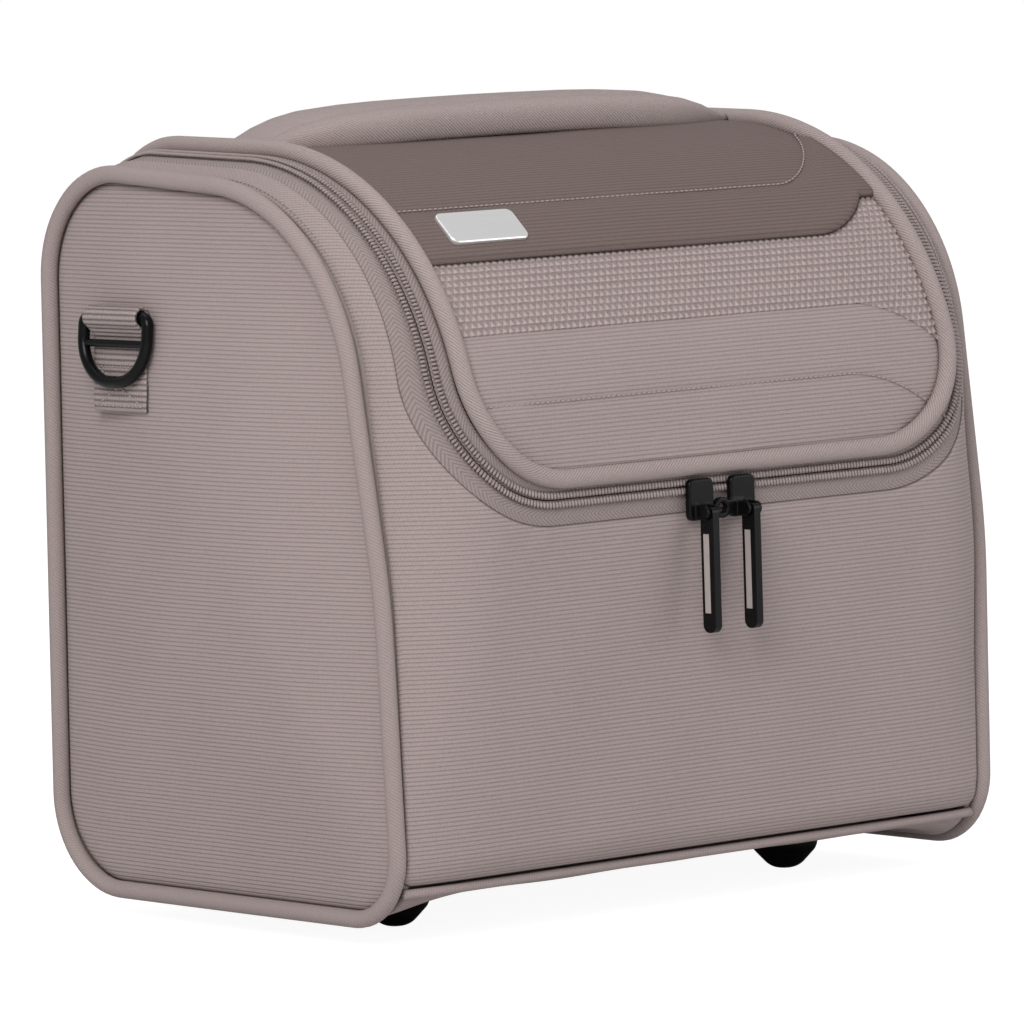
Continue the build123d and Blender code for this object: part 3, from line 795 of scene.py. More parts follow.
class CaseBuilder:
    """Makes every visible piece of the case."""

    TAPE_EDGE = 9.0
    BAND_GAP = -0.9
    FOLD_Z = 239.5
    RELIEF_Z = 215.0

    def __init__(self, frame: dict) -> None:
        self.frame = frame
        self.spec = FormSpec()
        self.form = CaseForm(self.spec)
        self.look = Looks()
        bodies = frame["record"]["behaviour"]["bodies"]
        self.body_of = {node: body for body, nodes in bodies.items() for node in nodes}

    # lines where the lid's panels meet

    @staticmethod
    def _ramp(x: Array, start: float, span: float, power: float = 2.0) -> Array:
        """Rise beyond a start, as a power of the share of a span."""
        return np.clip((x - start) / span, 0, 1.35) ** power

    def fold_z(self, x: Array) -> Array:
        """Height of the folded lower edge of the top panel."""
        return self.FOLD_Z + 6.5 * self._ramp(x, 74, 24)

    def relief_z(self, x: Array) -> Array:
        """Height of the relief band's lower edge."""
        return self.RELIEF_Z - 9.0 * self._ramp(x, 72, 32)

    def stitch_low_z(self, x: Array) -> Array:
        """Height of the lower stitch line."""
        return 190.0 - 13.5 * self._ramp(x, 64, 40)

    def stitch_high_z(self, x: Array) -> Array:
        """Height of the upper stitch line."""
        return 257.8 + 10.0 * self._ramp(x, 74, 28, 1.6)

    @staticmethod
    def columns(half: float, count: int) -> Array:
        """Places across the width, closer together towards the ends."""
        u = np.linspace(-1, 1, count)
        eased = np.sin(u * math.pi / 2)
        blend = 0.55
        return half * (blend * eased + (1 - blend) * u)

    def strip(self, xs: Array, top: Array, low: Array, rows: int, lift: Callable) -> tuple[Array, Array]:
        """Grid between two places along the section at each x.

        Args:
            xs: Places across the width.
            top: First place along the section at each x.
            low: Last place along the section at each x.
            rows: Rows of the grid.
            lift: Function of x and t giving the lift in millimetres.
        Returns:
            Points and UV distances.
        """
        v = np.linspace(0, 1, rows)[:, None]
        t = top[None] * (1 - v) + low[None] * v
        x = np.broadcast_to(xs[None], t.shape)
        return self.form.at(x, t, lift(x, t)), self.form.cloth(x, t)

    @staticmethod
    def _seam(distance: Array, depth: float = 0.9, width: float = 3.0) -> Array:
        """Sink of cloth next to a seam."""
        return -depth * np.exp(-np.maximum(distance, 0) / width)

    @staticmethod
    def _ripple(x: Array, t: Array, size: float) -> Array:
        """Gentle unevenness of sewn cloth."""
        return size * (
            np.sin(x / 23.0 + 0.9 * np.sin(t / 31.0)) * np.sin(t / 19.0 + 1.3)
            + 0.5 * np.sin(x / 9.5 + t / 14.0 + 2.0)
        )

    # lid panels

    def lid_panels(self) -> None:
        """Top panel with its padded lip, relief band and front panel."""
        inner = LID_PIPING.grown(-2.2)
        xs = self.columns(inner.half, 121)
        hinge = self.form.hinge_t(xs) + 1.8
        fold = self.form.front_t(xs, self.fold_z(xs))
        relief = self.form.front_t(xs, self.relief_z(xs))
        low = self.form.front_t(xs, inner.height(xs))
        stitch = self.form.front_t(xs, self.stitch_high_z(xs))
        stitch_low = self.form.front_t(xs, self.stitch_low_z(xs))
        edge = inner.half - np.abs(xs)

        def top_lift(x: Array, t: Array) -> Array:
            """Padded lip above the fold and a groove at the stitches."""
            to_fold = fold[None] - t
            to_stitch = t - stitch[None]
            pad = np.clip(to_stitch / 6.0, 0, 1)
            pad = pad * pad * (3 - 2 * pad)
            roll = np.sqrt(np.clip(1 - (1 - np.clip(to_fold / 2.6, 0, 1)) ** 2, 0, 1))
            groove = -0.5 * np.exp(-((to_stitch / 1.2) ** 2))
            return pad * 2.3 * roll + groove + self._seam(edge[None], 1.4, 3.0) + self._ripple(x, t, 0.16)

        rows = self._rows_with_roll(hinge, fold, 70)
        x = np.broadcast_to(xs[None], rows.shape)
        points = self.form.at(x, rows, top_lift(x, rows))
        sides = np.broadcast_to(edge, rows.shape)
        top = sheet_mesh("lid_top_cover", points, self.form.cloth(x, rows)).seamed(sides).closed(1.4)
        top.done("lid", Slot.DARK, self.look, ["lid_top_panel"])

        def front_lift(x: Array, t: Array) -> Array:
            """Bulge over the piping, sunk at the seams and the stitches."""
            from_low = low[None] - t
            sink = self._seam(from_low, 1.2, 3.0) + self._seam(t - relief[None], 0.6, 1.6)
            groove = -0.55 * np.exp(-(((t - stitch_low[None]) / 1.3) ** 2))
            swell = 2.0 * np.exp(-(((from_low - 13.0) / 8.0) ** 2)) * np.exp(-(((x + 22.0) / 62.0) ** 2))
            return sink + groove + swell + self._seam(edge[None], 1.2, 3.0) + self._ripple(x, t, 0.2)

        points, uv = self.strip(xs, relief - 0.6, low, 56, front_lift)
        down = np.linspace(0, 1, 56)[:, None] * (low - relief)[None]
        gap = np.minimum(np.minimum((low - relief)[None] - down, down * 2), np.broadcast_to(edge, down.shape))
        front = sheet_mesh("lid_front_cover", points, uv).seamed(gap).closed(1.3)
        front.done("lid", Slot.RIBBED, self.look, ["lid_front_panel"])
        front.sheet(["soft_lid_foam"])
        self.relief_band(inner.half, fold, relief, xs)
        self.stitches("lid_stitch_high", xs, stitch, 0.15, "lid")
        self.stitches("lid_stitch_low", xs, stitch_low, -0.1, "lid")

    @staticmethod
    def _rows_with_roll(top: Array, low: Array, count: int) -> Array:
        """Rows that crowd towards the lower edge."""
        v = np.linspace(0, 1, count)[:, None]
        v = np.where(v < 0.7, v / 0.7 * 0.8, 0.8 + (1 - np.clip((1 - v) / 0.3, 0, 1) ** 1.8) * 0.2)
        return top[None] * (1 - v) + low[None] * v

    def relief_band(self, half: float, fold: Array, relief: Array, xs: Array) -> None:
        """Band of small raised triangles in zig-zag rows."""
        fine = np.linspace(-half, half, 500)
        a, b = np.interp(fine, xs, fold - 3.0), np.interp(fine, xs, relief)
        edge = half - np.abs(fine)

        def lift(x: Array, t: Array) -> Array:
            """Raised triangles in staggered rows."""
            run = self.form.cloth(x, t)[..., 1] / MM / RELIEF_ROW
            u = np.mod(x / RELIEF_PITCH + 0.5 * np.mod(np.floor(run), 2), 1.0)
            down = np.mod(run, 1.0)
            inside = np.clip((down - np.abs(2 * u - 1)) * 3.0, 0, 1)
            return inside * (0.3 + 0.45 * down) - 0.35 + self._seam(edge[None], 1.0, 2.0)

        points, uv = self.strip(fine, a, b, 90, lift)
        to_fold = np.linspace(0, 1, 90)[:, None] * (b - a)[None] - 3.0
        band = sheet_mesh("lid_relief", points, uv).seamed(np.minimum(to_fold, edge[None])).closed(1.2)
        band.done("lid", Slot.RELIEF, self.look, ["lid_relief_band"])
        band.sheet(["soft_lid_foam"])

    # body panels

    def even_places(self, x: float, start: float, end: float, count: int) -> Array:
        """Return places along the section at x, the same distance apart."""
        dense = np.linspace(start, end, 400)
        run = self.form.cloth(np.full_like(dense, x), dense)[:, 1]
        return np.interp(np.linspace(run[0], run[-1], count), run, dense)

    def rail(self, outline: Outline, gap: float = 2.4) -> tuple[Array, Array]:
        """Places of a U outline on the skin, with the same count for every outline.

        Args:
            outline: Outline in the front view.
            gap: Distance that the ends stay clear of the hinge line.
        Returns:
            Places across the width and along the section, from the right hinge end to the left.
        """
        form = self.form
        half, low, radius = outline.half, outline.low, outline.radius
        hinge = form.hinge_t(np.array([half]))[0] + gap
        corner = form.front_t(np.array([half]), np.array([low + radius]))[0]
        ts = self.even_places(half, hinge, corner, 110)
        angle = np.radians(np.linspace(0, 90, 46)[1:])
        x = half - radius + radius * np.cos(angle)
        z = low + radius - radius * np.sin(angle)
        flat = np.linspace(half - radius, 0, 34)[1:]
        xs = np.concatenate([np.full_like(ts, half), x, flat])
        tt = np.concatenate([ts, form.front_t(x, z), form.front_t(flat, np.full_like(flat, low))])
        return np.concatenate([xs, -xs[-2::-1]]), np.concatenate([tt, tt[-2::-1]])

    def outer_rail(self) -> tuple[Array, Array]:
        """Places on the side seams and the bottom seam that face those of the zip's outline."""
        form, spec = self.form, self.spec
        rim = ZIP.grown(self.TAPE_EDGE)
        k = spec.flare / spec.seam_x

        def seam_x(t: Array) -> Array:
            """Distance across of the side seam at these places."""
            z = form.at(np.full_like(t, spec.end_x), t, 0.0, True)[..., 2] / MM
            return spec.end_x * (1 + z * k)

        end = spec.end_x * (1 + spec.bottom_seam * k)
        hinge = form.hinge_t(np.array([spec.end_x]))[0] + self.BAND_GAP
        corner = form.front_t(np.array([rim.half]), np.array([rim.low + rim.radius]))[0]
        low = form.front_t(np.array([end]), np.array([spec.bottom_seam + 1.5]))[0]
        top = form.hinge_t(np.array([rim.half]))[0] + self.BAND_GAP
        ts = self.even_places(rim.half, top, corner, 110)
        ts = hinge + (ts - top) * (corner - hinge) / (corner - top)
        share = np.linspace(0, 1, 46)[1:]
        turn = 0.56
        down = np.clip(share / turn, 0, 1)
        across = np.clip((share - turn) / (1 - turn), 0, 1)
        side = self.even_places(spec.seam_x, corner, low, 200)
        t_side = np.interp(down, np.linspace(0, 1, 200), side)
        x_low = end + (rim.half - rim.radius - end) * across
        t_low = form.front_t(x_low, np.full_like(x_low, spec.bottom_seam + 1.5))
        on_side = share <= turn
        x = np.where(on_side, seam_x(t_side), x_low)
        t = np.where(on_side, t_side, t_low)
        flat = np.linspace(rim.half - rim.radius, 0, 34)[1:]
        xs = np.concatenate([seam_x(ts), x, flat])
        tt = np.concatenate([ts, t, form.front_t(flat, np.full_like(flat, spec.bottom_seam + 1.5))])
        return np.concatenate([xs, -xs[-2::-1]]), np.concatenate([tt, tt[-2::-1]])

    def body_panels(self) -> None:
        """Front with its shoulder bands in one piece, back and bottom."""
        form, spec = self.form, self.spec
        (xa, ta), (xb, tb) = self.rail(ZIP.grown(self.TAPE_EDGE), self.BAND_GAP), self.outer_rail()
        v = np.linspace(0, 1, 66)[:, None]
        v = v + 0.12 * np.sin(2 * np.pi * v) * -0.5
        x, t = xa[None] * (1 - v) + xb[None] * v, ta[None] * (1 - v) + tb[None] * v
        flat = form.at(x, t)
        step = np.linalg.norm(np.diff(flat, axis=0), axis=2) / MM
        run = np.vstack([np.zeros((1, x.shape[1])), np.cumsum(step, axis=0)])
        rest = run[-1][None] - run
        calm = np.clip(run / 12, 0, 1) * np.clip(rest / 12, 0, 1)
        lift = self._fold(run) + self._seam(rest, 1.6, 2.0) + self._ripple(x, t, 0.34) * calm
        lift += self._pull(run, x, t) * np.clip(rest / 10, 0, 1)
        points = form.at(x, t, lift)
        piece = sheet_mesh("front_cover", points, form.cloth(x, t)).seamed(np.minimum(rest, run * 2.5))
        self._face_front(piece.obj.data)
        piece.closed(1.3)
        piece.done("case", Slot.RIBBED, self.look, ["front_panel"])
        piece.sheet(["front_board", "soft_shoulder_foam_left", "soft_shoulder_foam_right"])
        edge_x, edge_t = self.outer_rail()
        side = edge_x[:130] - 1.7
        for name, sign in (("left", -1), ("right", 1)):
            path = form.at(sign * side, edge_t[:130], np.full(130, -0.55))
            self.stitch_path(f"seam_stitch_{name}", path, "case", 2.2, Slot.LINING)
        xs = np.linspace(-spec.end_x, spec.end_x, 90)
        low = form.front_t(xs, np.full_like(xs, spec.bottom_seam - 1.5))
        back = np.full_like(xs, form.breaks[9] - 4.0)
        self._station_sheet("bottom_cover", xs, low, back, 60, ["bottom_panel"], ["base_board"])
        top = form.period + form.hinge_t(xs) - 1.4
        self._station_sheet("back_cover", xs, back + 0.4, top, 90, ["back_panel"], ["back_board"])

    @staticmethod
    def _fold(run: Array) -> Array:
        """Rolled edge that stands a little proud of the zip's tape."""
        return 0.5 * np.exp(-run / 6.0) - 1.0 * np.exp(-run / 0.8)

    @staticmethod
    def _pull(run: Array, x: Array, t: Array) -> Array:
        """Small puckers that start at the stitched edge and die out."""
        phase = x / 2.6 + 1.7 * np.sin(x / 11.0) + t / 3.4
        return 0.16 * np.sin(phase) * np.exp(-run / 9.0) * np.clip(run / 3.0, 0, 1)

    def _station_sheet(
        self, name: str, xs: Array, a: Array, b: Array, rows: int, nodes: list, boards: list
    ) -> None:
        """Plain panel across the full width.

        Args:
            name: Name of the piece.
            xs: Stations across the width.
            a: First place along the section at each station.
            b: Last place along the section at each station.
            rows: Rows of the grid.
            nodes: Nodes it stands for.
            boards: Nodes it is drawn over.
        """
        v = np.linspace(0, 1, rows)[:, None]
        t = a[None] * (1 - v) + b[None] * v
        x = np.broadcast_to(xs[None], t.shape)
        edge = self.spec.end_x - np.abs(x)
        lift = self._seam(edge, 0.9, 2.5) + self._ripple(x, t, 0.3) * np.clip(edge / 20, 0, 1)
        points = self.form.at(x, t, lift, True)
        piece = sheet_mesh(name, points, self.form.cloth(x, t)).seamed(edge).closed(1.4)
        piece.done("case", Slot.RIBBED, self.look, nodes)
        piece.sheet(boards)

    # sides

    def side_loop(self, inset: float, station: float, share: float = 1.0, lift: float = 0.0) -> Array:
        """Loop of the side section, drawn in and lifted off its plane."""
        form, spec = self.form, self.spec
        outline = form.section(np.zeros(form.loop_t.size), form.loop_t)
        nxt, prv = np.roll(outline, -1, 0), np.roll(outline, 1, 0)
        tangent = nxt - prv
        tangent /= np.linalg.norm(tangent, axis=1, keepdims=True)
        normal = np.stack([tangent[:, 1], -tangent[:, 0]], 1)
        middle = np.array(spec.side).mean(0)
        inward = middle - outline
        flip = np.sign((normal * inward).sum(1, keepdims=True))
        loop = outline + normal * flip * inset
        loop = middle + (loop - middle) * share
        sign = math.copysign(1.0, station)
        x = station * (1 + loop[:, 1] * spec.flare / spec.seam_x) + sign * lift
        return np.stack([x, loop[:, 0], loop[:, 1]], 1) * MM

    def sides(self) -> None:
        """Cushioned side panels and their piping."""
        spec = self.spec
        for name, sign in (("left", -1), ("right", 1)):
            shares = np.concatenate([[1.0, 0.995, 0.988, 0.98, 0.97, 0.955], np.linspace(0.93, 0.06, 30)])
            rings = []
            for share in shares:
                near = (1 - share) * 92
                rise = 13.5 * (1 - share**2) + 0.1 + 2.6 * (1 - math.exp(-near / 1.6)) * math.exp(-near / 13)
                rings.append(even(self.side_loop(3.2, sign * spec.end_x, share, rise), 220))
            pts = np.array(rings)
            y, z = pts[..., 1] / MM, pts[..., 2] / MM
            calm = np.clip((1 - shares) * 8, 0, 1)[:, None]
            pts[..., 0] += sign * self._ripple(y * 1.3, z * 1.1, 0.45) * calm * MM
            rows, cols = pts.shape[:2]
            verts = np.vstack([pts.reshape(-1, 3), pts[-1].mean(0)[None]])
            verts[-1, 0] = pts[-1, :, 0].max() if sign > 0 else pts[-1, :, 0].min()
            faces = grid_faces(rows, cols, wrap=True)
            hub = rows * cols
            faces += [((rows - 1) * cols + j, (rows - 1) * cols + (j + 1) % cols, hub) for j in range(cols)]
            uv = np.stack([verts[:, 1], verts[:, 2]], 1)
            piece = Piece(f"side_cover_{name}", verts, faces if sign < 0 else [f[::-1] for f in faces], uv)
            self._face_out(piece.obj.data, sign)
            piece.seamed(np.append(np.repeat((1 - shares) * 92, cols), 99.0), 0.9).thick(1.3)
            piece.done("case", Slot.RIBBED, self.look, [f"side_panel_{name}"])
            loop = even(self.side_loop(1.5, sign * spec.seam_x), 260)
            cord = tube_mesh(f"side_welt_{name}", loop, 3.15, 18, True)
            cord.done("case", Slot.PIPING, self.look, [f"side_piping_{name}"])

    @staticmethod
    def _face_out(mesh: bpy.types.Mesh, sign: int) -> None:
        """Make an open side sheet face away from the middle."""
        total = sum(p.normal.x * p.area for p in mesh.polygons)
        if total * sign < 0:
            mesh.flip_normals()

    # zip

    def zip_path(self, outline: Outline, lift: float, step: float = 2.0) -> Array:
        """Evenly spaced points along a U outline on the skin."""
        x, t = self.rail(outline)
        path = self.form.at(x, t, np.full_like(x, lift))
        run = run_along(path)
        return points_at(path, run, np.linspace(0, run[-1], int(run[-1] / MM / step)))

    def ribbon(
        self, name: str, base: Outline, grows: Sequence, lifts: Sequence, body: str, node: str
    ) -> None:
        """Flat tape on the skin between two offsets of an outline.

        Args:
            name: Name of the piece.
            base: Outline that is offset.
            grows: Offsets of the rows in millimetres.
            lifts: Lift of each row.
            body: Body it rides on.
            node: Node it stands for.
        """
        rows, uvs = [], []
        for grow, lift in zip(grows, lifts):
            x, t = self.rail(base.grown(grow))
            rows.append(self.form.at(x, t, np.full_like(x, lift)))
        points = np.array(rows)
        run = run_along(points[0])
        for grow in grows:
            uvs.append(np.stack([run, np.full_like(run, grow * MM)], -1))
        piece = sheet_mesh(name, points, np.array(uvs))
        self._face_front(piece.obj.data)
        piece.closed(0.7)
        piece.done(body, Slot.TAPE, self.look, [node])

    @staticmethod
    def _face_front(mesh: bpy.types.Mesh) -> None:
        """Make an open front sheet face out of the case."""
        total = 0.0
        for face in mesh.polygons:
            outward = Vector((face.center.x * 0.2, face.center.y, face.center.z - 0.15))
            total += (face.normal @ outward) * face.area
        if total < 0:
            mesh.flip_normals()

    def zips(self) -> None:
        """Tapes and coils on both halves."""
        body_rows = [0.2, 2.9, 3.1, 4.6, 6.2, 7.8, 9.2, 10.4]
        body_lifts = [-0.75, -0.75, -0.55, -0.5, -0.45, -0.45, -0.5, -0.8]
        self.ribbon("body_tape", ZIP, body_rows, body_lifts, "case", "body_zip_tape")
        lid_rows = [-0.2, -2.9, -3.1, -4.4, -5.6, -7.0]
        lid_lifts = [-0.75, -0.75, -0.5, -0.45, -0.4, -0.5]
        self.ribbon("lid_tape", ZIP, lid_rows, lid_lifts, "lid", "lid_zip_tape")
        for name, body, sign in (("body_coil", "case", 1), ("lid_coil", "lid", -1)):
            path = self.zip_path(ZIP.grown(sign * 1.62), 0.3, 0.8)
            node = name.replace("coil", "zip_coil")
            self.teeth(name, path, body, node)

    def teeth(self, name: str, path: Array, body: str, node: str) -> None:
        """Row of coil turns placed along a path by geometry nodes."""
        carrier = Piece(name, path, [])
        carrier.obj.data.clear_geometry()
        edges = [(i, i + 1) for i in range(len(path) - 1)]
        carrier.obj.data.from_pydata([tuple(p) for p in path], edges, [])
        tree = GeometryTree(name + "_nodes")
        tree.row(pitch=1.5 * MM, turn=(1.52 * MM, 0.56 * MM), material=self.look.get(Slot.COIL))
        mod = carrier.obj.modifiers.new("Row", "NODES")
        mod.node_group = tree.group
        for key, value in tree.values.items():
            mod[tree.sockets[key]] = value
        graph = bpy.context.evaluated_depsgraph_get()
        mesh = bpy.data.meshes.new_from_object(carrier.obj.evaluated_get(graph))
        carrier.obj.modifiers.clear()
        carrier.obj.data = mesh
        carrier.done(body, Slot.COIL, self.look, [node])

    def stitches(self, name: str, xs: Array, ts: Array, lift: float, body: str) -> None:
        """Line of thread stitches along a seam."""
        fine = np.linspace(xs[0] + 2, xs[-1] - 2, 200)
        t = np.interp(fine, xs, ts)
        path = self.form.at(fine, t, np.full_like(t, lift))
        self.stitch_path(name, path, body, 2.4, Slot.TWILL)

    def stitch_path(self, name: str, path: Array, body: str, pitch: float, slot: Slot) -> None:
        """Thread stitches of one pitch along points in metres."""
        run = run_along(path)
        count = max(2, int(run[-1] / MM / pitch))
        verts, faces = [], []
        for i in range(count):
            at = np.linspace((i + 0.14) / count, (i + 0.86) / count, 5) * run[-1]
            line = points_at(path, run, at)
            _, a, b = frames_along(line, False)
            radius = np.array([0.16, 0.33, 0.38, 0.33, 0.16]) * MM
            angle = np.linspace(0, 2 * np.pi, 6, endpoint=False)
            ring = line[:, None] + radius[:, None, None] * (
                a[:, None] * np.cos(angle)[None, :, None] + b[:, None] * np.sin(angle)[None, :, None]
            )
            base = len(verts)
            verts += [tuple(p) for p in ring.reshape(-1, 3)]
            faces += grid_faces(5, 6, base, True)
            faces += caps(5, 6, base)
        piece = Piece(name, np.array(verts), faces)
        make_outward(piece.obj.data)
        piece.done(body, slot, self.look)

    def lid_welt(self) -> None:
        """Fat twill piping round the lid."""
        path = self.zip_path(LID_PIPING.grown(-0.6), 0.9, 2.2)
        tube_mesh("lid_welt", path, 3.4, 18).done("lid", Slot.TWILL, self.look, ["lid_piping"])

    def bottom_bead(self) -> None:
        """Thin piping along the front bottom seam."""
        xs = np.linspace(-self.spec.end_x, self.spec.end_x, 140)
        t = self.form.front_t(xs, np.full_like(xs, self.spec.bottom_seam))
        path = self.form.at(xs, t, np.full_like(xs, 0.1))
        tube_mesh("bottom_welt", path, 1.7, 12).done("case", Slot.PIPING, self.look, ["bottom_piping"])

    # handle

    HANDLE_SECTION = (
        (-22.8, -8.6), (-24.0, -4.0), (-23.0, 0.2), (-19.5, 2.6), (-14.0, 3.3), (-12.4, 2.5),
        (-11.0, 3.4), (-5.0, 4.5), (4.0, 4.9), (13.0, 4.2), (19.5, 2.2), (22.3, -1.0),
        (20.0, -3.6), (8.0, -4.2), (-8.0, -4.2), (-16.5, -4.8), (-20.4, -9.3),
    )
    # x, share of the width, share of the height, height of the middle
    HANDLE_STATIONS = (
        (-113.5, 0.52, 0.3, 281.0), (-110, 0.56, 0.36, 281.2), (-104, 0.66, 0.5, 282.6),
        (-98, 0.76, 0.66, 284.1), (-88, 0.88, 0.84, 286.0), (-78, 0.95, 0.95, 287.2),
        (-60, 1.0, 1.0, 288.2), (-45, 1.0, 1.0, 288.7), (-20, 1.0, 1.0, 289.0),
    )
    HANDLE_TOP, HANDLE_END, HANDLE_Y = 289.1, 113.5, 18.0

    def handle(self) -> None:
        """Padded grip with a drooping front lip, over the lid."""
        mirrored = [(-x, w, h, z) for x, w, h, z in reversed(self.HANDLE_STATIONS)]
        full = [*self.HANDLE_STATIONS, (0, 1.0, 1.0, self.HANDLE_TOP), *mirrored]
        xs = np.array([s[0] for s in full], float)
        fine = np.linspace(-self.HANDLE_END, self.HANDLE_END, 130)
        width, tall, height = (np.interp(fine, xs, [s[k] for s in full]) for k in (1, 2, 3))
        section = self._smooth_loop(np.array(self.HANDLE_SECTION), 72)
        y = self.HANDLE_Y + section[None, :, 0] * width[:, None]
        z = height[:, None] + section[None, :, 1] * tall[:, None]
        wave = np.sin(fine[:, None] / 3.1 + 2.2 * np.sin(fine[:, None] / 17.0))
        z = z + 0.25 * wave * np.exp(-((section[None, :, 0] + 12.4) ** 2) / 9)
        x = np.broadcast_to(fine[:, None], y.shape)
        pts = np.stack([x, y, z], -1) * MM
        n, m = y.shape
        faces = grid_faces(n, m, wrap=True) + caps(n, m)
        around = run_along(section)
        uv = np.stack(np.broadcast_arrays(fine[:, None], around[None]), -1) * MM
        piece = Piece("handle", pts.reshape(-1, 3), faces, uv.reshape(-1, 2))
        close_uv(piece.obj.data, n, m, False, 0.0, float(around[-1] * MM))
        make_outward(piece.obj.data)
        piece.done("lid", Slot.TWILL, self.look, ["handle_grip", "handle_top_strip"])

    @staticmethod
    def _smooth_loop(points: Array, count: int) -> Array:
        """Closed smooth curve through points."""
        n = len(points)
        out = []
        for i in range(n):
            p0, p1, p2, p3 = (points[(i + k) % n] for k in (-1, 0, 1, 2))
            for u in np.linspace(0, 1, 8, endpoint=False):
                square = (2 * p0 - 5 * p1 + 4 * p2 - p3) * u**2
                cube = (3 * p1 - p0 - 3 * p2 + p3) * u**3
                out.append(0.5 * ((2 * p1) + (p2 - p0) * u + square + cube))
        return even(np.array(out), count)

    def webbing(self) -> None:
        """Webbing loops that hold the strap rings, folded over the ring and sewn to the sides."""
        for name, sign in (("left", -1), ("right", 1)):
            cover = bpy.data.objects[f"side_cover_{name}"]
            graph = bpy.context.evaluated_depsgraph_get()
            tree = BVHTree.FromObject(cover, graph)

            def skin(z: float) -> float:
                """Distance across of the side cover at this height."""
                inward = Vector((-sign, 0, 0))
                starts = [Vector((sign * 0.3, y, z * MM)) for y in (0.03, 0.04, 0.05)]
                return max(sign * tree.ray_cast(start, inward)[0].x for start in starts) / MM

            up = [(skin(z) + 1.0, z) for z in np.linspace(187, 214, 14)]
            angle = np.radians(np.linspace(-60, 205, 18))
            roll = [(156.26 + 3.35 * math.cos(a), 221 + 3.35 * math.sin(a)) for a in angle]
            path = np.array(up + roll)
            tangent = np.gradient(path, axis=0)
            tangent /= np.linalg.norm(tangent, axis=1, keepdims=True)
            normal = np.stack([tangent[:, 1], -tangent[:, 0]], 1)
            loop = np.vstack([path + normal * 0.7, (path - normal * 0.7)[::-1]])
            steps = run_along(loop)
            ys = np.concatenate([[25.0, 25.4], np.linspace(27, 53, 8), [54.6, 55.0]])
            thin = np.array([0.55, 0.9] + [1.0] * 8 + [0.9, 0.55])
            middle = np.vstack([path, path[::-1]])
            points, uvs = [], []
            for y, share in zip(ys, thin):
                ring = middle + (loop - middle) * share
                wave = 0.25 * np.sin(ring[:, 1] / 2.1 + y)
                points.append(np.stack([sign * ring[:, 0], y + wave * (abs(y - 40) > 12), ring[:, 1]], 1))
                uvs.append(np.stack([np.full_like(steps, y), steps], 1))
            rows, cols = len(ys), len(loop)
            faces = grid_faces(rows, cols, wrap=True)
            faces += caps(rows, cols)
            uv = np.concatenate(uvs) * MM
            piece = Piece(f"ring_webbing_{name}", np.concatenate(points) * MM, faces, uv)
            close_uv(piece.obj.data, rows, cols, False, 0.0, float(steps[-1] * MM))
            make_outward(piece.obj.data)
            piece.done("case", Slot.WEBBING, self.look, [f"strap_tab_{name}"])
            box = [(27, 189), (53, 189), (27, 203), (53, 203), (27, 189)]
            line = np.array([((skin(z) + 1.85) * sign, y, z) for (y0, z0), (y1, z1) in zip(box, box[1:])
                             for y, z in zip(np.linspace(y0, y1, 12), np.linspace(z0, z1, 12))]) * MM
            self.stitch_path(f"ring_stitch_{name}", line, "case", 2.2, Slot.TWILL)

    def hinge_cloth(self) -> None:
        """Strip of cloth along the hinge line, sewn under both edges of the back seam."""
        reach = 7.0
        xs = np.linspace(-120.0, 120.0, 60)
        down = np.linspace(reach, -reach, 19)[:, None]
        t = self.form.hinge_t(xs)[None] + down
        x = np.broadcast_to(xs[None], t.shape)
        points = self.form.at(x, t, np.full_like(t, -1.7))
        piece = sheet_mesh("hinge_cloth", points, self.form.cloth(x, t), False)
        self._face_front(piece.obj.data)
        piece.closed(0.8)
        piece.obj.data.materials.append(self.look.get(Slot.TAPE))
        piece.obj.data.shade_smooth()
        low, high = points[-1, 30], points[0, 30]
        middle = (low + high) / 2
        start, end = (tuple(middle + (side - middle) * 0.6) for side in (low, high))
        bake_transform(piece.obj)
        piece.sheet(["soft_hinge_binding"])
        LOG.info("piece hinge_cloth: bends between case and lid")

    CAST = ("zip_slider_left", "zip_slider_right")

    def castings(self) -> None:
        """Sliders with the rounded edges of a casting, over the same bodies."""
        for node in self.CAST:
            source = self.frame["nodes"][node]
            verts = [v.co[:] for v in source.data.vertices]
            piece = Piece("cast_" + node, verts, [p.vertices[:] for p in source.data.polygons])
            piece.modified("REMESH", mode="VOXEL", voxel_size=0.00026)
            piece.modified("SMOOTH", factor=0.5, iterations=9)
            piece.done(self.body_of[node], Slot.METAL, self.look, [node])

    SOFT = {
        "body_lining": Slot.LINING, "lid_lining": Slot.LINING,
        "hinge_binding": Slot.TAPE, "lid_foam": Slot.FOAM,
        "shoulder_foam_left": Slot.FOAM, "shoulder_foam_right": Slot.FOAM,
        "side_pad_left": Slot.FOAM, "side_pad_right": Slot.FOAM,
    }

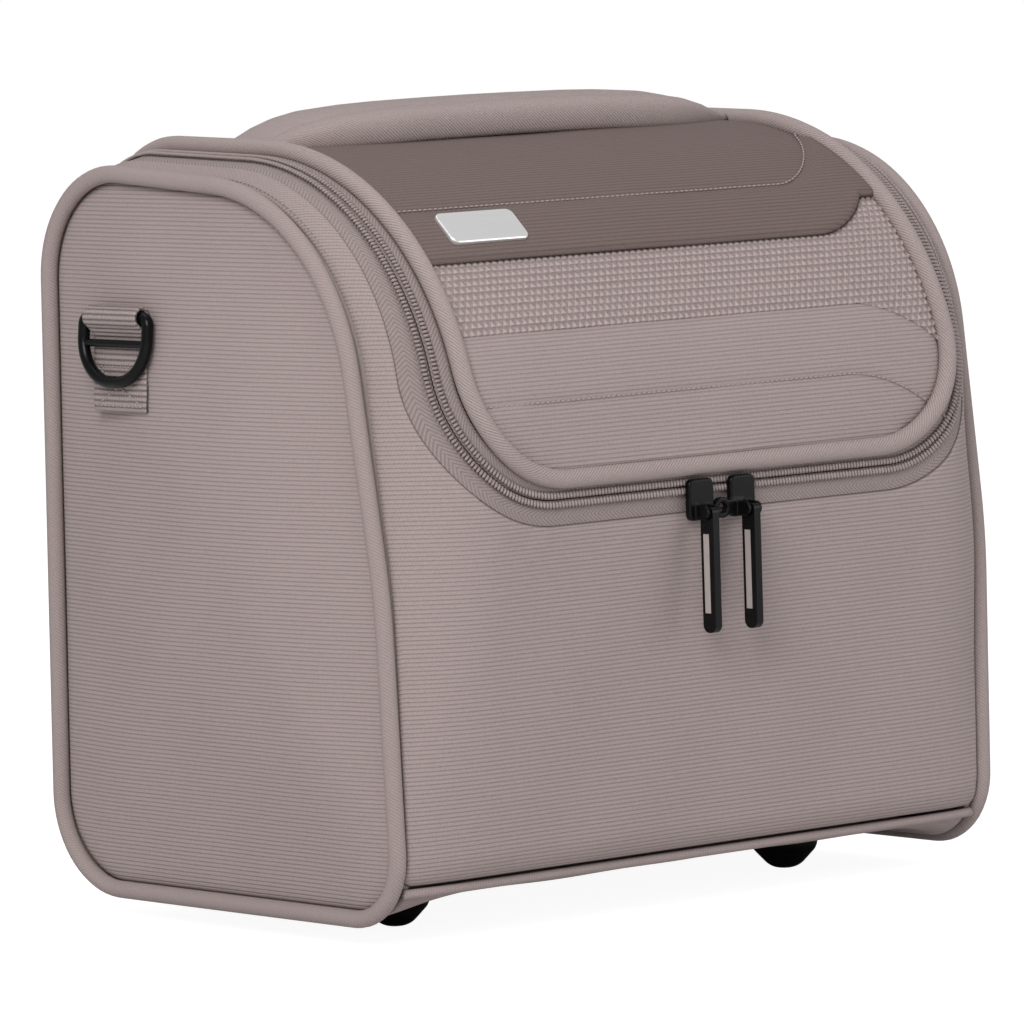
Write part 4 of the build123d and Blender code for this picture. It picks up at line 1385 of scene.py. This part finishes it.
    def inner_soft(self) -> None:
        """Linings, foams and the hinge binding, as softened copies of their solids."""
        for node, slot in self.SOFT.items():
            source = self.frame["nodes"][node]
            mesh = bmesh.new()
            mesh.from_mesh(source.data)
            bmesh.ops.remove_doubles(mesh, verts=mesh.verts, dist=1e-6)
            for limit in (0.05, 0.025, 0.0125):
                bmesh.ops.triangulate(mesh, faces=mesh.faces)
                long = [e for e in mesh.edges if e.calc_length() > limit]
                bmesh.ops.subdivide_edges(mesh, edges=long, cuts=1)
            bmesh.ops.triangulate(mesh, faces=mesh.faces)
            for vert in mesh.verts:
                x, y, z = (c / MM for c in vert.co)
                angles = (y / 17 + math.sin(z / 23), x / 19 + z / 31, x / 21 + y / 27)
                vert.co += 0.22 * MM * Vector([math.sin(angle) for angle in angles])
            name = "soft_" + node
            faces = [[v.index for v in f.verts] for f in mesh.faces]
            piece = Piece(name, [v.co[:] for v in mesh.verts], faces)
            mesh.free()
            piece.done(self.body_of[node], slot, self.look, [node])
            piece.obj.data.set_sharp_from_angle(angle=math.radians(40))

    def repaint(self) -> None:
        """Give the hard parts their materials."""
        record = self.frame["record"]
        for part in record["subparts"]:
            node = self.frame["nodes"][part["node"]]
            node.data.materials.clear()
            node.data.materials.append(self.look.get(Slot(part["material_slot"])))

    def build(self) -> None:
        """Make everything."""
        self.repaint()
        self.inner_soft()
        self.hinge_cloth()
        self.castings()
        self.lid_panels()
        self.body_panels()
        self.sides()
        self.webbing()
        self.zips()
        self.lid_welt()
        self.bottom_bead()
        self.handle()


class GeometryTree:
    """A geometry node group with named inputs."""

    def __init__(self, name: str) -> None:
        self.group = bpy.data.node_groups.new(name, "GeometryNodeTree")
        self.sockets: dict[str, str] = {}
        self.values: dict[str, object] = {}
        face = self.group.interface
        face.new_socket(name="Geometry", in_out="INPUT", socket_type="NodeSocketGeometry")
        face.new_socket(name="Geometry", in_out="OUTPUT", socket_type="NodeSocketGeometry")
        self.source = self.group.nodes.new("NodeGroupInput")
        self.target = self.group.nodes.new("NodeGroupOutput")

    def value(self, name: str, default: float) -> int:
        """Add a named number input and return its place."""
        made = self.group.interface.new_socket(name=name, in_out="INPUT", socket_type="NodeSocketFloat")
        made.default_value = default
        self.sockets[name] = made.identifier
        self.values[name] = default
        return len(self.sockets)

    def node(self, kind: str, settings: dict | None = None, inputs: dict | None = None):
        """Make a node, set its settings and then its sockets."""
        made = self.group.nodes.new(kind)
        for key, value in (settings or {}).items():
            setattr(made, key, value)
        for key, value in (inputs or {}).items():
            if isinstance(value, bpy.types.NodeSocket):
                self.group.links.new(value, made.inputs[key])
            else:
                made.inputs[key].default_value = value
        return made

    def row(self, pitch: float, turn: tuple[float, float], material: bpy.types.Material) -> None:
        """Coil turns along the edges of the carrier mesh."""
        self.value("Pitch", pitch)
        self.value("Length", turn[0])
        self.value("Radius", turn[1])
        source = self.source.outputs
        curve = self.node("GeometryNodeMeshToCurve", inputs={0: source[0]})
        points = self.node("GeometryNodeResampleCurve", {"mode": "LENGTH"},
                           {0: curve.outputs[0], "Length": source["Pitch"]})
        tangent = self.node("GeometryNodeInputTangent")
        normal = self.node("GeometryNodeInputNormal")
        half = self.node("ShaderNodeMath", {"operation": "MULTIPLY"}, {0: source["Length"], 1: 2.0})
        ball = self.node("GeometryNodeMeshUVSphere",
                         inputs={"Segments": 6, "Rings": 4, "Radius": source["Radius"]})
        ratio = self.node("ShaderNodeMath", {"operation": "DIVIDE"},
                          {0: half.outputs[0], 1: source["Radius"]})
        shape = self.node("ShaderNodeCombineXYZ", inputs={0: 1.0, 1: 1.0, 2: 1.0})
        self.group.links.new(ratio.outputs[0], shape.inputs[0])
        trim = self.node("ShaderNodeVectorMath", {"operation": "MULTIPLY"},
                         {0: shape.outputs[0], 1: (0.5, 1.15, 1.3)})
        align = self.node("FunctionNodeAxesToRotation", {"primary_axis": "Y", "secondary_axis": "X"},
                          {0: tangent.outputs[0], 1: normal.outputs[0]})
        place = self.node("GeometryNodeInstanceOnPoints",
                          inputs={"Points": points.outputs[0], "Instance": ball.outputs[0],
                                  "Rotation": align.outputs[0], "Scale": trim.outputs[0]})
        real = self.node("GeometryNodeRealizeInstances", inputs={0: place.outputs[0]})
        paint = self.node("GeometryNodeSetMaterial", inputs={0: real.outputs[0], "Material": material})
        self.group.links.new(paint.outputs[0], self.target.inputs[0])


# --------------------------------------------------------------------------- studio


class Studio:
    """Camera, lights and backdrop."""

    AZIMUTH, ELEVATION, ROLL = map(math.radians, (-41.2, 4.92, -1.8))
    DISTANCE = 2.921
    LENS = 279.3

    def camera(self) -> None:
        """Place the camera where the photograph was taken from."""
        a, e, r = self.AZIMUTH, self.ELEVATION, self.ROLL
        back = Vector((math.sin(a) * math.cos(e), -math.cos(a) * math.cos(e), math.sin(e)))
        right = Vector((0, 0, 1)).cross(back).normalized()
        up = back.cross(right)
        side = right * math.cos(r) + up * math.sin(r)
        top = up * math.cos(r) - right * math.sin(r)
        place = Vector((0, 0, 0.145)) + back * self.DISTANCE
        place += side * 0.0055 - top * 0.003963 - Vector((0.0127, 0, 0))
        data = bpy.data.cameras.new("camera")
        data.lens = self.LENS
        data.sensor_width = 36.0
        data.clip_end = 50.0
        cam = bpy.data.objects.new("camera", data)
        cam.matrix_world = Matrix((side, top, back)).transposed().to_4x4()
        cam.matrix_world.translation = place
        bpy.context.scene.collection.objects.link(cam)
        bpy.context.scene.camera = cam

    def light(self, name: str, place: Sequence, aim: Sequence, size: float, power: float) -> None:
        """Add one soft area light."""
        data = bpy.data.lights.new(name, "AREA")
        data.size = size
        data.energy = power
        lamp = bpy.data.objects.new(name, data)
        lamp.location = place
        lamp.rotation_euler = (Vector(aim) - Vector(place)).to_track_quat("-Z", "Y").to_euler()
        bpy.context.scene.collection.objects.link(lamp)

    def floor(self) -> None:
        """Pale floor under the case."""
        n = 24
        angle = np.linspace(0, 2 * np.pi, n, endpoint=False)
        ring = np.stack([6 * np.cos(angle), 6 * np.sin(angle), np.full(n, -0.0002)], 1)
        verts = np.vstack([ring, ring * [1, 1, 0] + [0, 0, -0.02]])
        faces = [tuple(range(n)), tuple(range(2 * n - 1, n - 1, -1))]
        faces += [(i, i + n, (i + 1) % n + n, (i + 1) % n) for i in range(n)]
        mesh = bpy.data.meshes.new("floor")
        mesh.from_pydata([tuple(v) for v in verts], [], faces)
        net = Net("floor")
        net.set(Base_Color=(0.8, 0.8, 0.8), Roughness=0.9)
        glow = net.node("ShaderNodeEmission", inputs={"Color": (1, 1, 1, 1), "Strength": 1.5})
        seen = Sock(net, net.node("ShaderNodeLightPath").outputs["Is Camera Ray"])
        mixed = net.node("ShaderNodeMixShader", inputs={0: seen * 0.62})
        net.tree.links.new(net.shader.outputs[0], mixed.inputs[1])
        net.tree.links.new(glow.outputs[0], mixed.inputs[2])
        net.tree.links.new(mixed.outputs[0], net.output.inputs[0])
        mesh.materials.append(net.material)
        obj = bpy.data.objects.new("floor", mesh)
        bpy.context.scene.collection.objects.link(obj)

    def world(self) -> None:
        """White to the camera, plain grey light to the case."""
        world = bpy.data.worlds.new("studio")
        bpy.context.scene.world = world
        world.use_nodes = True
        tree = world.node_tree
        tree.nodes.clear()
        out = tree.nodes.new("ShaderNodeOutputWorld")
        mixed = tree.nodes.new("ShaderNodeMixShader")
        path = tree.nodes.new("ShaderNodeLightPath")
        for index, (colour, strength) in enumerate((((0.95, 0.97, 1.0, 1), 0.42), ((1, 1, 1, 1), 1.0))):
            glow = tree.nodes.new("ShaderNodeBackground")
            glow.inputs["Color"].default_value = colour
            glow.inputs["Strength"].default_value = strength
            tree.links.new(glow.outputs[0], mixed.inputs[index + 1])
        tree.links.new(path.outputs["Is Camera Ray"], mixed.inputs[0])
        tree.links.new(mixed.outputs[0], out.inputs[0])

    def build(self) -> None:
        """Set up the whole studio."""
        scene = bpy.context.scene
        scene.view_settings.view_transform = "Standard"
        self.camera()
        self.world()
        self.floor()
        self.light("key", (-1.9, -1.3, 1.5), (0, 0, 0.15), 1.2, 44)
        self.light("fill", (1.5, -1.9, 0.8), (0, 0, 0.15), 1.6, 13)
        self.light("top", (0.1, 0.3, 2.2), (0, 0, 0.2), 1.4, 12)


def main() -> None:
    """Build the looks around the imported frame."""
    logging.basicConfig(level=logging.INFO, format="%(message)s")
    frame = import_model()
    CaseBuilder(frame).build()
    Studio().build()


if __name__ == "__main__":
    main()
